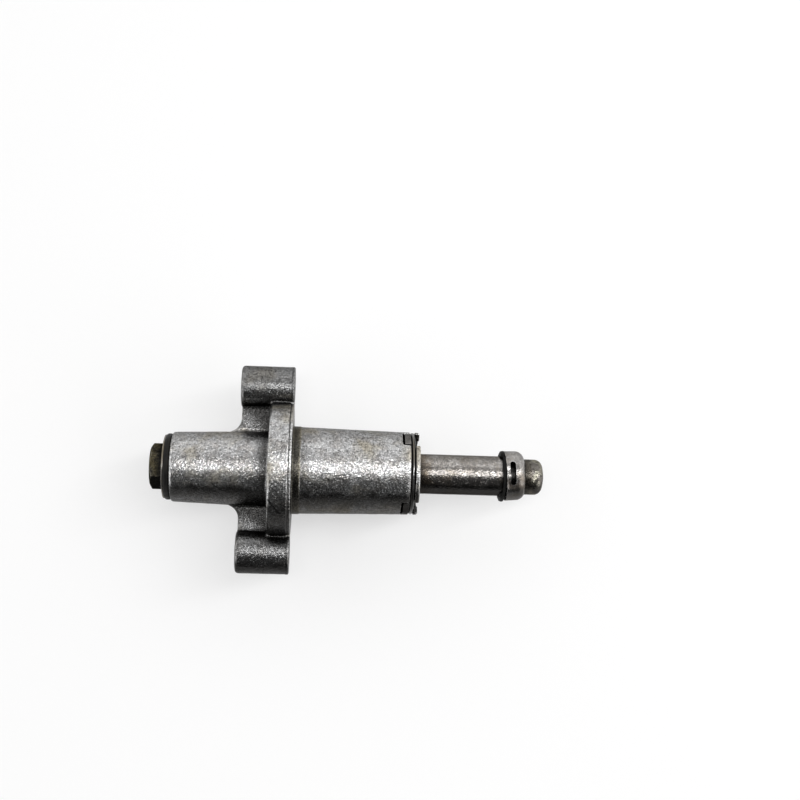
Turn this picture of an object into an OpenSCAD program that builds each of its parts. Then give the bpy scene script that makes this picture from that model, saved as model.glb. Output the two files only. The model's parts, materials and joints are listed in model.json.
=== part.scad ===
// Screw type timing chain tensioner: a cast housing with two bolt lugs and a plunger that a
// wound spring drives out through a lead screw. +X runs along the plunger towards its nose, the
// origin is the centre of the mounting face, and the bolt lugs lie along Y.

/* [Mounting flange] */
// Diameter of the round mounting flange
flange_d = 40.8; // [38:0.1:44]
// Thickness of the flange with its machined pad
flange_t = 6.9; // [6:0.1:9]
// Diameter of the machined pad that meets the engine
pad_d = 40; // [37:0.1:43]
// Height of the machined pad
pad_h = 1.8; // [1:0.1:3]
// Diameter of the pilot that centres the tensioner in the engine
pilot_d = 26.6; // [26:0.1:28]
// Length of the pilot
pilot_len = 2.4; // [1.5:0.1:5]

/* [Bolt lugs] */
// Distance between the two bolt holes
bolt_pitch = 50; // [48:0.1:54]
// Diameter of each bolt hole
bolt_hole_d = 6.6; // [5.5:0.1:7.4]
// Diameter of the bevel at each hole's mouth
bolt_mouth_d = 8; // [7.5:0.1:9]
// Depth of the bevel at each hole's mouth
bolt_mouth_h = 0.4; // [0.2:0.05:0.5]
// Outside diameter of each bolt lug
lug_d = 13; // [11:0.1:15]
// Length of each bolt lug behind the mounting face
lug_len = 16.2; // [12:0.1:19]
// Radius on the edges of each lug
lug_edge_r = 1.1; // [0.4:0.1:1.6]
// Thickness of the web that joins a lug to the body
web_t = 4.8; // [3:0.1:6]
// Radius where a web runs into its lug
web_lug_r = 2.4; // [1:0.1:3]
// Radius where a web's rear edge runs into the body
web_body_r = 4.2; // [2:0.1:5]

/* [Housing body] */
// Length of the body behind the mounting face
rear_len = 36.1; // [32:0.1:40]
// Diameter of the body at its rear end
rear_d = 21.2; // [20.4:0.1:22]
// Diameter of the body where it meets the flange
waist_d = 23; // [22:0.1:24]
// Length of the case ahead of the mounting face
case_len = 38.2; // [36:0.1:44]
// Diameter of the case just ahead of the pilot
case_d = 26.4; // [25.8:0.1:27]
// Diameter of the case at its front end
case_front_d = 25; // [24.8:0.1:26.2]
// Radius on the outer edges of the casting
cast_edge_r = 0.8; // [0.3:0.1:1.2]
// Thickness of the wall that closes the rear of the body
rear_wall_t = 8; // [6:0.1:9]
// Diameter of the spring chamber
chamber_d = 17.4; // [17:0.1:17.8]
// Diameter of the wider chamber ahead of the mounting face
front_chamber_d = 18.8; // [18.6:0.1:19.4]

/* [Rear plug] */
// Size of the plug's hexagon across its flats
hex_af = 12; // [10:0.1:14]
// Height of the hexagon
hex_h = 4; // [3:0.1:6]
// Angle at which the hexagon's corners are turned off, in degrees
plug_bevel_deg = 30; // [20:1:40]
// Diameter of the plug's shank
plug_shank_d = 8; // [7.4:0.1:9]
// Length of the shank inside the rear wall
plug_grip = 4.4; // [3:0.1:5]
// Outside diameter of the plain washer
washer_d = 19.2; // [17:0.1:20]
// Thickness of the plain washer
washer_t = 0.5; // [0.4:0.05:1.2]
// Outside diameter of the rubber seal
seal_d = 20; // [18:0.1:20.8]
// Thickness of the rubber seal
seal_t = 1.8; // [1.2:0.1:3]

/* [Front retention] */
// Width of the ring groove
groove_w = 1.5; // [1.3:0.05:2]
// Depth of the ring groove below the case
groove_depth = 1.3; // [1:0.05:1.5]
// Width of the lip ahead of the groove
lip_w = 1.3; // [1:0.1:2]
// Wire diameter of the retaining ring
ring_wire_d = 1.2; // [0.8:0.05:1.25]
// Gap between the two ends of the retaining ring, in degrees
ring_gap_deg = 34; // [20:1:50]
// Thickness of the guide plate
plate_t = 1.8; // [1.2:0.1:2.2]
// Thickness of the case's end wall around the guide plate
end_wall = 2.5; // [2.2:0.05:2.8]
// Width of each ear of the guide plate
ear_w = 6; // [4:0.1:7]
// Clearance between an ear and its notch, on each side
ear_gap = 0.2; // [0.1:0.05:0.5]
// Depth of each notch behind the ear's rear face
notch_relief = 0.6; // [0.2:0.1:1]

/* [Plunger] */
// Diameter of the plunger tube
rod_d = 12.2; // [12:0.1:12.4]
// Distance across the two flats of the plunger tube
rod_af = 12; // [11.4:0.1:12]
// Bore of the plunger tube
rod_bore_d = 8.7; // [8.5:0.1:9.4]
// Length of the threaded end of the plunger tube
nut_len = 11.9; // [9:0.1:14]
// Distance that the plunger slides in from full reach
travel = 24; // [15:0.5:24.5]
// Gap left between the bush and the case's lip when the plunger is in
stop_gap = 0.85; // [0.3:0.05:1.5]
// Running clearance of the plunger in the guide plate, on each side
guide_gap = 0.1; // [0.05:0.01:0.2]

/* [Plunger end] */
// Outside diameter of the pressed end cup
cup_d = 15; // [14.4:0.1:16]
// Wall thickness of the end cup
cup_wall = 0.9; // [0.6:0.05:1]
// Length of the end cup
cup_len = 6.2; // [5:0.1:8]
// Outer radius of the cup's shoulder
cup_shoulder_r = 2.6; // [1.5:0.1:2.8]
// Lean of the cup on the tube, in degrees
cup_lean_deg = 3; // [0:0.5:3]
// Length of the cup's window around the cup
window_len = 7.2; // [4:0.1:8]
// Width of the cup's window along the plunger
window_w = 1.7; // [1:0.1:2]
// Length of the rubber bush that shows behind the cup
bush_len = 1; // [0.8:0.1:3]
// Outside diameter of the bush at the cup
bush_d = 15.6; // [15:0.1:16.4]
// Outside diameter of the bush's rear lip
bush_lip_d = 13.8; // [13.2:0.1:14.4]
// Diameter of the nose
nose_d = 10.8; // [9.6:0.1:11]
// Distance that the nose stands out of the cup
nose_len = 6; // [4:0.1:9]
// Radius on the nose's end edge
nose_edge_r = 2.4; // [1:0.1:3]
// Height of the nose's domed end
nose_dome_h = 0.5; // [0.2:0.1:1]

/* [Screw and spring] */
// Distance that the plunger moves in one turn of the screw
lead = 5; // [4:0.5:8]
// Number of thread starts
starts = 3; // [2:1:4]
// Outside diameter of the screw's thread
screw_d = 8; // [7.6:0.1:8.1]
// Depth of the screw's thread
thread_depth = 0.75; // [0.5:0.05:0.9]
// Radial clearance between the screw and the nut
thread_gap = 0.25; // [0.2:0.05:0.3]
// Diameter of the screw's tail journal
tail_d = 6.4; // [5.6:0.1:6.8]
// Diameter of the screw's thrust collar
collar_d = 11; // [9:0.1:12]
// Thickness of the screw's thrust collar
collar_t = 2; // [1.5:0.1:3]
// Thickness of the thrust seat
seat_t = 1.5; // [1:0.1:2.5]
// Length of the slotted part of the shank that holds the spring
hub_len = 4.2; // [3.4:0.1:6]
// Wire diameter of the torsion spring
spring_wire_d = 1.4; // [1:0.05:1.5]
// Outside diameter of the torsion spring
spring_d = 16.8; // [16.4:0.1:16.9]
// Number of turns in the torsion spring
spring_turns = 22; // [12:1:26]
// Wall thickness of the spacer sleeve
sleeve_wall = 0.4; // [0.3:0.05:0.45]

/* [Hidden] */
$fn = 96;

// A cut runs past the solid by this much
overrun = 0.5;
// Running and seating clearance between metal parts
run_gap = 0.05;
// Clearance that lets a part drop into place
drop_gap = 0.3;

// Shares of the sizes that they follow
window_place_share = 0.34;
tube_groove_share = 0.12;
plug_face_share = 0.96;
tooth_share = 0.42;
tooth_room_share = 0.62;

// Places along X, from the rear to the front
rear_x = -rear_len;
seal_x = rear_x - seal_t;
washer_x = seal_x - washer_t;
plug_x = washer_x - hex_h;
chamber_x = rear_x + rear_wall_t;
collar_x = chamber_x + seat_t + run_gap;
hub_x = collar_x + collar_t;
hub_end_x = hub_x + hub_len;
lip_x = case_len;
groove_x = case_len - lip_w - groove_w;
plate_x = groove_x - plate_t;
notch_x = plate_x - notch_relief;
ring_x = groove_x + groove_w / 2;
rod_x = plate_x - guide_gap - nut_len;
bush_x = lip_x + travel + stop_gap;
cup_x = bush_x + bush_len + run_gap + bush_d / 2 * sin(cup_lean_deg);
cup_face_x = cup_x + cup_len;
nose_x = cup_face_x + nose_len;
nose_flange_t = cup_wall;
nose_flange_x = cup_face_x - cup_wall - drop_gap - rod_d / 2 * sin(cup_lean_deg) - nose_flange_t;
screw_end_x = rod_x + nut_len;
spigot_x = screw_end_x + travel + overrun;

// Radii and small sizes that follow from the driving ones
pilot_edge_r = max(run_gap, (pilot_d - case_d) / 2);
plate_seat_d = case_front_d - 2 * end_wall;
plate_d = plate_seat_d - 2 * ear_gap;
groove_r = case_front_d / 2 - groove_depth;
plate_hole_d = rod_d + 2 * guide_gap;
plate_hole_af = rod_af + 2 * guide_gap;
sleeve_bore_d = rod_d + 2 * drop_gap;
sleeve_d = sleeve_bore_d + 2 * sleeve_wall;
sleeve_flange_t = sleeve_wall * 2;
coil_r = (spring_d - spring_wire_d) / 2;
spring_slot_w = spring_wire_d + 2 * drop_gap;
spring_x = hub_x + hub_len / 2;
spring_end_x = plate_x - 3 * spring_wire_d;
tail_hole_d = tail_d + 4 * run_gap;
tail_slot_w = tail_d / 6;
shank_d = screw_d + 4 * run_gap;
cup_seat_r = rod_d / 2 + drop_gap;
nose_hole_d = nose_d + 2 * drop_gap;
window_x = cup_x + cup_len * window_place_share;
tube_groove_h = (rod_d - rod_bore_d) * tube_groove_share;

// Rings of points in one turn of a thread or of the spring
rings_per_turn = 12;
coil_rings_per_turn = 12;

// Angles of the three notches around X, from +Y towards +Z
notch_angles = [30, 150, 270];
// Angle of the gap in the retaining ring, behind a solid part of the lip
ring_gap_angle = 210;

// Colours of the finishes
cast_colour = "#8f8e88";
plug_colour = "#3b3a32";
washer_colour = "#a9a89f";
rubber_colour = "#1a1b1d";
steel_colour = "#87847c";
cup_colour = "#a19f9a";
spring_colour = "#5c5d60";

// Turns a shape so that its own Z runs along X and its own X along Y.
module along_x() {
    rotate([90, 0, 90]) children();
}

// Points of an arc, from one angle to another.
function arc(centre, radius, from, to, steps = 8) =
    [for (i = [0:steps]) let (a = from + (to - from) * i / steps)
        centre + radius * [cos(a), sin(a)]];

// Outline of the casting's outside, as radius against X.
function casting_outline() =
    let (
        rear_r = rear_d / 2,
        waist_r = waist_d / 2,
        flange_r = flange_d / 2,
        back = -flange_t,
        e = cast_edge_r,
        front_r = case_front_d / 2
    )
    concat(
        [[0, rear_x]],
        arc([rear_r - e, rear_x + e], e, -90, 0),
        arc([waist_r + e, back - e], e, 180, 90),
        arc([flange_r - e, back + e], e, -90, 0),
        [[flange_r, -pad_h], [pad_d / 2, -pad_h], [pad_d / 2, 0], [pilot_d / 2, 0]],
        arc([pilot_d / 2 - pilot_edge_r, pilot_len - pilot_edge_r], pilot_edge_r, 0, 90, 3),
        pilot_d > case_d ? [] : [[case_d / 2, pilot_len]],
        [[front_r, groove_x], [groove_r, groove_x]],
        [[groove_r, groove_x + groove_w], [front_r, groove_x + groove_w]],
        arc([front_r - lip_w / 3, lip_x - lip_w / 3], lip_w / 3, 0, 90, 3),
        [[0, lip_x]]
    );

// Outline of a bolt lug, as radius against X, with both edges rounded.
function lug_outline() =
    let (r = lug_d / 2, e = lug_edge_r)
    concat(
        [[0, -lug_len]],
        arc([r - e, e - lug_len], e, -90, 0),
        arc([r - e / 3, -e / 3], e / 3, 0, 90, 3),
        [[0, 0]]
    );

// Upper half of the web's section across X, from the body's axis out to the lug's axis.
function web_half_section() =
    let (
        body_r = waist_d / 2,
        lug_r = lug_d / 2,
        top = web_t / 2,
        f = cast_edge_r,
        g = web_lug_r,
        body_c = [sqrt(pow(body_r + f, 2) - pow(top + f, 2)), top + f],
        lug_c = [bolt_pitch / 2 - sqrt(pow(lug_r + g, 2) - pow(top + g, 2)), top + g],
        body_a = 180 + atan2(body_c[1], body_c[0]),
        lug_a = 360 - atan2(lug_c[1], bolt_pitch / 2 - lug_c[0]),
        lug_arc = arc(lug_c, g, 270, lug_a)
    )
    concat(
        [[0, top]],
        arc(body_c, f, body_a, 270, 4),
        lug_arc,
        [[bolt_pitch / 2, lug_arc[len(lug_arc) - 1][1]]]
    );

// The section with its lower half mirrored below the upper one.
module web_section() {
    upper = web_half_section();
    last = len(upper) - 1;
    lower = [for (i = [0:last]) [upper[last - i][0], -upper[last - i][1]]];
    polygon(concat(upper, lower));
}

// The web seen from above, as Y against X, with a hollow curve down to the body.
module web_plan() {
    body_r = waist_d / 2 - (waist_d - rear_d) / 4;
    f = web_body_r;
    back = cast_edge_r / 2 - lug_len;
    polygon(concat(
        [[0, back - f]],
        arc([body_r + f, back - f], f, 180, 90, 12),
        [[bolt_pitch / 2, back], [bolt_pitch / 2, -pad_h], [0, -pad_h]]
    ));
}

// One lug with its web, on the +Y side.
module lug_and_web() {
    along_x() translate([bolt_pitch / 2, 0, 0]) rotate_extrude() polygon(lug_outline());
    intersection() {
        along_x() translate([0, 0, rear_x]) linear_extrude(rear_len) web_section();
        translate([0, 0, -web_t - lug_d])
            linear_extrude(2 * (web_t + lug_d))
            mirror([1, -1, 0]) web_plan();
    }
}

// The bore of one bolt hole with a bevel at its front mouth.
module bolt_hole() {
    along_x() translate([bolt_pitch / 2, 0, 0]) {
        translate([0, 0, -lug_len - overrun])
            cylinder(h = lug_len + 2 * overrun, d = bolt_hole_d);
        translate([0, 0, -bolt_mouth_h])
            cylinder(h = bolt_mouth_h, d1 = bolt_hole_d, d2 = bolt_mouth_d);
        cylinder(h = overrun, d = bolt_mouth_d);
    }
}

// A straight notch through the case's front end, at an angle around X.
module front_notch(angle) {
    width = ear_w + 2 * ear_gap;
    along_x() rotate([0, 0, angle])
        translate([plate_d / 2 - overrun, -width / 2, notch_x])
        cube([case_d / 2, width, lip_x - notch_x + overrun]);
}

// The hollow inside of the housing, from the plug's hole to the open front.
module housing_bores() {
    along_x() {
        translate([0, 0, rear_x - overrun])
            cylinder(h = plug_grip + 2 * overrun, d = plug_shank_d + 2 * run_gap);
        translate([0, 0, rear_x])
            cylinder(h = rear_wall_t + overrun, d = tail_hole_d + 2 * drop_gap);
        translate([0, 0, chamber_x])
            cylinder(h = lip_x - chamber_x + overrun, d = chamber_d);
        cylinder(h = lip_x + overrun, d = front_chamber_d);
        translate([0, 0, plate_x])
            cylinder(h = lip_x - plate_x + overrun, d = plate_seat_d);
        translate([front_chamber_d / 2 - spring_wire_d, -spring_slot_w / 2,
            spring_end_x - 2 * spring_wire_d])
            cube([2 * spring_wire_d, spring_slot_w, lip_x]);
    }
}

// Cast aluminium body with flange, lugs and webs in one piece.
module housing() {
    color(cast_colour) difference() {
        union() {
            along_x() rotate_extrude() polygon(casting_outline());
            lug_and_web();
            mirror([0, 1, 0]) lug_and_web();
        }
        housing_bores();
        bolt_hole();
        mirror([0, 1, 0]) bolt_hole();
        for (angle = notch_angles) front_notch(angle);
    }
}

// Hexagon plug that closes the rear of the body. A wide cone turns its corners off.
module rear_plug() {
    corner_d = hex_af / cos(30);
    face_r = hex_af / 2 * plug_face_share;
    color(plug_colour) along_x() {
        translate([0, 0, plug_x]) intersection() {
            cylinder(h = hex_h, d = corner_d, $fn = 6);
            cylinder(h = hex_h, r1 = face_r, r2 = face_r + hex_h / tan(plug_bevel_deg));
        }
        translate([0, 0, plug_x + hex_h])
            cylinder(h = washer_t + seal_t + plug_grip, d = plug_shank_d);
    }
}

// Plain washer under the hexagon.
module plug_washer() {
    color(washer_colour) along_x() translate([0, 0, washer_x]) difference() {
        cylinder(h = washer_t, d = washer_d);
        translate([0, 0, -overrun])
            cylinder(h = washer_t + 2 * overrun, d = plug_shank_d + 2 * run_gap);
    }
}

// Rubber seal with rounded outer edges, between the washer and the body.
module plug_seal() {
    r = seal_d / 2;
    bore_r = plug_shank_d / 2 + run_gap;
    e = seal_t / 3;
    color(rubber_colour) along_x() translate([0, 0, seal_x]) rotate_extrude()
        polygon(concat(
            [[bore_r, 0]],
            arc([r - e, e], e, -90, 0, 4),
            arc([r - e, seal_t - e], e, 0, 90, 4),
            [[bore_r, seal_t]]
        ));
}

// Hard washer that takes the screw's thrust at the bottom of the chamber.
module thrust_seat() {
    color(steel_colour) along_x() translate([0, 0, chamber_x]) difference() {
        cylinder(h = seat_t, d = chamber_d - 2 * ear_gap);
        translate([0, 0, -overrun]) cylinder(h = seat_t + 2 * overrun, d = tail_hole_d);
    }
}

// Section across a thread of several starts, as a core with one tooth for each start.
function thread_section(core_r, tip_r, share, steps) =
    let (pitch_deg = 360 / starts, half = pitch_deg * share / 2)
    [for (i = [0:starts - 1]) let (a = i * pitch_deg) each concat(
        arc([0, 0], tip_r, a - half, a + half, steps),
        arc([0, 0], core_r, a + half, a + pitch_deg - half, steps)
    )];

// A point of a section, turned to its place on the thread.
function thread_point(p, x) =
    let (a = 360 * x / lead)
    [p[0] * cos(a) - p[1] * sin(a), p[0] * sin(a) + p[1] * cos(a), x];

// Right hand thread between two places on X. All threads share one phase, so they mesh.
module thread(from, to, core_r, tip_r, share, steps) {
    section = thread_section(core_r, tip_r, share, steps);
    count = len(section);
    rings = ceil((to - from) / lead * rings_per_turn);
    points = [for (j = [0:rings], p = section) thread_point(p, from + (to - from) * j / rings)];
    skin = [for (j = [0:rings - 1], k = [0:count - 1])
        let (a = j * count + k, b = j * count + (k + 1) % count)
        each [[a, a + count, b], [b, a + count, b + count]]];
    ends = [[for (k = [0:count - 1]) k], [for (k = [0:count - 1]) (rings + 1) * count - 1 - k]];
    polyhedron(points, concat(skin, ends), convexity = 8);
}

// Lead screw with a tail journal, a thrust collar and a plain shank slotted for the spring.
module screw_shaft() {
    tail_len = rear_wall_t - plug_grip - overrun + seat_t + run_gap;
    thread_x = rod_x - travel - nut_len / 2;
    core_r = screw_d / 2 - thread_depth;
    color(steel_colour) along_x() difference() {
        union() {
            translate([0, 0, collar_x - tail_len]) cylinder(h = tail_len, d = tail_d);
            translate([0, 0, collar_x]) cylinder(h = collar_t, d = collar_d);
            translate([0, 0, hub_x]) cylinder(h = thread_x - hub_x + overrun, d = shank_d);
            thread(thread_x, screw_end_x, core_r, screw_d / 2, tooth_share, 2);
        }
        translate([0, -spring_slot_w / 2, spring_x - spring_slot_w / 2])
            cube([screw_d, spring_slot_w, spring_slot_w]);
        translate([-tail_d, -tail_slot_w / 2, collar_x - tail_len - overrun])
            cube([2 * tail_d, tail_slot_w, overrun + tail_slot_w]);
    }
}

// Path of the spring's wire: an inner leg, the turns and an outer leg.
function spring_path() =
    let (
        steps = coil_rings_per_turn * spring_turns,
        leg_in = screw_d / 4,
        leg_out = front_chamber_d / 2 + spring_wire_d / 4
    )
    concat(
        [[leg_in, 0, spring_x]],
        [for (i = [0:steps]) let (a = 360 * spring_turns * i / steps)
            [coil_r * cos(a), coil_r * sin(a), spring_x + (spring_end_x - spring_x) * i / steps]],
        [[leg_out, 0, spring_end_x]]
    );

// Ring of points around a path's point, in the plane that halves the bend there.
function wire_ring(path, i, sides) =
    let (
        last = len(path) - 1,
        before = path[i] - path[max(i - 1, 0)],
        after = path[min(i + 1, last)] - path[i],
        ahead = unit((i == 0) ? after : (i == last) ? before : unit(before) + unit(after)),
        side = unit(cross(ahead, [0, 0, 1])),
        up = cross(side, ahead)
    )
    [for (k = [0:sides - 1]) let (a = 360 * k / sides)
        path[i] + spring_wire_d / 2 * (cos(a) * side + sin(a) * up)];

function unit(v) = v / norm(v);

// Torsion spring that turns the screw.
module torsion_spring() {
    sides = 6;
    path = spring_path();
    last = len(path) - 1;
    points = [for (i = [0:last]) each wire_ring(path, i, sides)];
    skin = [for (i = [0:last - 1], k = [0:sides - 1])
        [i * sides + k, i * sides + (k + 1) % sides,
            (i + 1) * sides + (k + 1) % sides, (i + 1) * sides + k]];
    ends = [[for (k = [0:sides - 1]) sides - 1 - k], [for (k = [0:sides - 1]) last * sides + k]];
    color(spring_colour) along_x() polyhedron(points, concat(skin, ends), convexity = 8);
}

// Thin sleeve that keeps the spring off the plunger, with a flange behind the guide plate.
module spacer_sleeve() {
    start = hub_end_x + spring_wire_d;
    color(washer_colour) along_x() difference() {
        union() {
            translate([0, 0, start]) cylinder(h = plate_x - start, d = sleeve_d);
            translate([0, 0, plate_x - sleeve_flange_t])
                cylinder(h = sleeve_flange_t, d = front_chamber_d - 2 * ear_gap);
        }
        translate([0, 0, start - overrun])
            cylinder(h = plate_x - start + 2 * overrun, d = sleeve_bore_d);
    }
}

// A round bar with two flats that face +Y and -Y.
module flatted_bar(length, diameter, across) {
    intersection() {
        cylinder(h = length, d = diameter);
        translate([-across / 2, -diameter, 0]) cube([across, 2 * diameter, length]);
    }
}

// Guide plate with three ears that key it to the case and a flatted hole for the plunger.
module guide_plate() {
    color(steel_colour) along_x() difference() {
        union() {
            translate([0, 0, plate_x]) cylinder(h = plate_t, d = plate_d);
            intersection() {
                translate([0, 0, plate_x]) cylinder(h = plate_t, d = case_front_d);
                for (angle = notch_angles) rotate([0, 0, angle])
                    translate([0, -ear_w / 2, plate_x]) cube([case_d / 2, ear_w, plate_t]);
            }
        }
        translate([0, 0, plate_x - overrun])
            flatted_bar(plate_t + 2 * overrun, plate_hole_d, plate_hole_af);
    }
}

// Open wire ring in the case's groove, ahead of the ears.
module retaining_ring() {
    turn = 360 - ring_gap_deg;
    color(steel_colour) along_x() translate([0, 0, ring_x])
        rotate([0, 0, ring_gap_angle + ring_gap_deg / 2])
        rotate_extrude(angle = turn)
        translate([groove_r + ring_wire_d / 2, 0]) circle(d = ring_wire_d, $fn = 24);
}

// Hollow plunger with flats, a threaded rear end and a groove under the cup's window.
module plunger_tube() {
    front_x = rod_x + nut_len;
    color(steel_colour) along_x() difference() {
        union() {
            translate([0, 0, rod_x]) cylinder(h = nut_len, d = rod_d);
            translate([0, 0, front_x]) flatted_bar(nose_flange_x - front_x, rod_d, rod_af);
        }
        translate([0, 0, front_x])
            cylinder(h = nose_flange_x - front_x + overrun, d = rod_bore_d);
        thread(rod_x - overrun, front_x + overrun,
            screw_d / 2 - thread_depth + thread_gap, screw_d / 2 + thread_gap,
            tooth_room_share, 4);
        translate([0, 0, window_x - window_w / 2]) difference() {
            cylinder(h = window_w, d = rod_d + overrun);
            cylinder(h = window_w, d = rod_af - 2 * tube_groove_h);
        }
    }
}

// Hard nose with a spigot in the tube and a flange that the cup holds down.
module nose() {
    r = nose_d / 2;
    e = nose_edge_r;
    edge_x = nose_x - nose_dome_h;
    color(steel_colour) along_x() rotate_extrude()
        polygon(concat(
            [[0, spigot_x], [rod_bore_d / 2 - run_gap, spigot_x]],
            [[rod_bore_d / 2 - run_gap, nose_flange_x], [rod_af / 2, nose_flange_x]],
            [[rod_af / 2, nose_flange_x + nose_flange_t], [r, nose_flange_x + nose_flange_t]],
            arc([r - e, edge_x - e], e, 0, 90),
            [[(r - e) / 2, nose_x - nose_dome_h / 4], [0, nose_x]]
        ));
}

// Pressed steel cup with a rounded shoulder and a window, leaning a little on the tube.
module end_cup() {
    middle_x = cup_x + cup_len / 2;
    color(cup_colour)
        translate([middle_x, 0, 0]) rotate([0, 0, cup_lean_deg]) translate([-middle_x, 0, 0])
        difference() {
            along_x() rotate_extrude() polygon(cup_outline());
            translate([window_x - window_w / 2, 0, 0]) window_cutter();
        }
}

// Outline of the cup's wall. The shoulder's curve ends at the hole for the nose.
function cup_outline() =
    let (
        r = cup_d / 2,
        s = cup_shoulder_r,
        t = cup_shoulder_r - cup_wall,
        hole_r = nose_hole_d / 2,
        inset = hole_r - r + s,
        curved = inset > 0,
        centre = [r - s, cup_face_x - s]
    )
    concat(
        [[r - cup_wall, cup_x], [r, cup_x]],
        arc(centre, s, 0, curved ? acos(inset / s) : 90),
        curved ? [] : [[hole_r, cup_face_x], [hole_r, cup_face_x - cup_wall]],
        arc(centre, t, curved ? acos(inset / t) : 90, 0)
    );

// Long window with round ends, cut from the axis towards +Z.
module window_cutter() {
    half = (window_len - window_w) / 2;
    translate([window_w / 2, 0, 0]) {
        for (side = [-1, 1]) translate([0, side * half, 0]) cylinder(h = cup_d, d = window_w);
        translate([-window_w / 2, -half, 0]) cube([window_w, 2 * half, cup_d]);
    }
}

// Rubber bush behind the cup, with a rear lip, a cone and a spigot inside the cup.
module cup_bush() {
    bore_r = rod_d / 2 + run_gap;
    spigot_r = cup_d / 2 - cup_wall - drop_gap;
    lip_t = bush_len / 3;
    front_x = bush_x + bush_len;
    color(rubber_colour) along_x() rotate_extrude() polygon([
        [bore_r, bush_x], [bush_lip_d / 2, bush_x], [bush_lip_d / 2, bush_x + lip_t],
        [bush_d / 2, front_x - lip_t], [bush_d / 2, front_x], [spigot_r, front_x],
        [spigot_r, cup_x + lip_t], [bore_r, cup_x + lip_t]
    ]);
}

housing();
rear_plug();
plug_washer();
plug_seal();
thrust_seat();
screw_shaft();
torsion_spring();
spacer_sleeve();
guide_plate();
retaining_ring();
plunger_tube();
nose();
end_cup();
cup_bush();
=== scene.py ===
"""Studio scene of a used timing chain tensioner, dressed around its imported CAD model."""

import json
import logging
import math
from dataclasses import dataclass
from enum import Enum
from typing import Callable, Iterable, Sequence

import bmesh
import bpy
from bmesh.types import BMesh, BMVert
from mathutils import Matrix, Vector, noise


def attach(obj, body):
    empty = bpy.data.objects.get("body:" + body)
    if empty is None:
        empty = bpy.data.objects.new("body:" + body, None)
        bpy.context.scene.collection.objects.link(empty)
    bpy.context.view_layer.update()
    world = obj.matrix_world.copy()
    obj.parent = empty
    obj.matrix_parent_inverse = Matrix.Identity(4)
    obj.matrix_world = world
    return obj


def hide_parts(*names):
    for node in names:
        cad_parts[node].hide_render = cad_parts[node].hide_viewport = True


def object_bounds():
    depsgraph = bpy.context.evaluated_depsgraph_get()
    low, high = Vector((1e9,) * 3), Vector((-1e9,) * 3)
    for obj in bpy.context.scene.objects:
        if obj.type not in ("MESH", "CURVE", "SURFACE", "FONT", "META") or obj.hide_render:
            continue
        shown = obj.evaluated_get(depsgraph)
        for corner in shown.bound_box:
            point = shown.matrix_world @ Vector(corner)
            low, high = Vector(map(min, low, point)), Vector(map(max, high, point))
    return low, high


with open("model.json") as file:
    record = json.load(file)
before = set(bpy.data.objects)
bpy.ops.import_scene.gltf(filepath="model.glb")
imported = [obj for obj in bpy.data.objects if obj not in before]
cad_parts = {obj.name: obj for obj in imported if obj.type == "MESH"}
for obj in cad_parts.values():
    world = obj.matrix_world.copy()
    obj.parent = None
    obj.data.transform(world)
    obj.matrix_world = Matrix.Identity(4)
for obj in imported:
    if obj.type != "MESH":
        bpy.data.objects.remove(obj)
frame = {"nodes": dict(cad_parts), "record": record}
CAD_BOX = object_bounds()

LOG = logging.getLogger("tensioner")
MM = 0.001
TINY = 0.001
NOISE_MIDDLE = 0.5
FULL_TURN = 2 * math.pi
OLIVE = (0.20, 0.17, 0.09)
# Near black, used for painted shade and, on the plunger, for oil.
SHADE_AND_OIL = (0.028, 0.027, 0.026)
BLACK = (0.01, 0.01, 0.01)
Colour = tuple[float, float, float]
Point = tuple[float, float]
Place = tuple[float, float, float]
Node = bpy.types.Node
Tree = bpy.types.NodeTree
Socket = bpy.types.NodeSocket


class Body(Enum):
    """The bodies that the new pieces ride on."""

    HOUSING = "housing"
    PLUNGER = "plunger"


class Cut(Enum):
    """Ways in which one mesh works on another."""

    JOIN = "UNION"
    REMOVE = "DIFFERENCE"
    KEEP_COMMON = "INTERSECT"


def grey(level: float, warmth: float = 0.0) -> Colour:
    """A grey colour, warmer where warmth is above 0 and cooler below it.

    Args:
        level: brightness from 0 to 1, in linear light.
        warmth: share by which red rises and blue falls.

    Returns:
        The linear colour.
    """
    return (level * (1 + warmth), level, level * (1 - warmth))


def ease(value: float) -> float:
    """A smooth step of a value that is first held between 0 and 1."""
    held = min(max(value, 0.0), 1.0)
    return held * held * (3 - 2 * held)


def ripple(place: Vector, waves: Sequence[Point]) -> float:
    """Sum of noises at a place, one for each pair of a scale and a height."""
    return sum(height * noise.noise(place * scale) for scale, height in waves)


def arc(centre: Point, radius: float, start: float, stop: float, steps: int = 8) -> list[Point]:
    """Points of an arc in an outline of X and radius.

    Args:
        centre: the arc's centre.
        radius: its radius.
        start: first angle in degrees, from +X towards a larger radius.
        stop: last angle in degrees.
        steps: number of steps between them.

    Returns:
        The points in order.
    """
    angles = (math.radians(start + (stop - start) * i / steps) for i in range(steps + 1))
    return [(centre[0] + radius * math.cos(a), centre[1] + radius * math.sin(a)) for a in angles]


@dataclass(frozen=True)
class Dent:
    """A place where a blow pushed the surface in. All sizes are in millimetres.

    Args:
        place: its middle, counted from a corner of the piece.
        reach: its half size along X, Y and Z.
        push: how far its middle moves.
    """

    place: Place
    reach: Place
    push: Place


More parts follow.
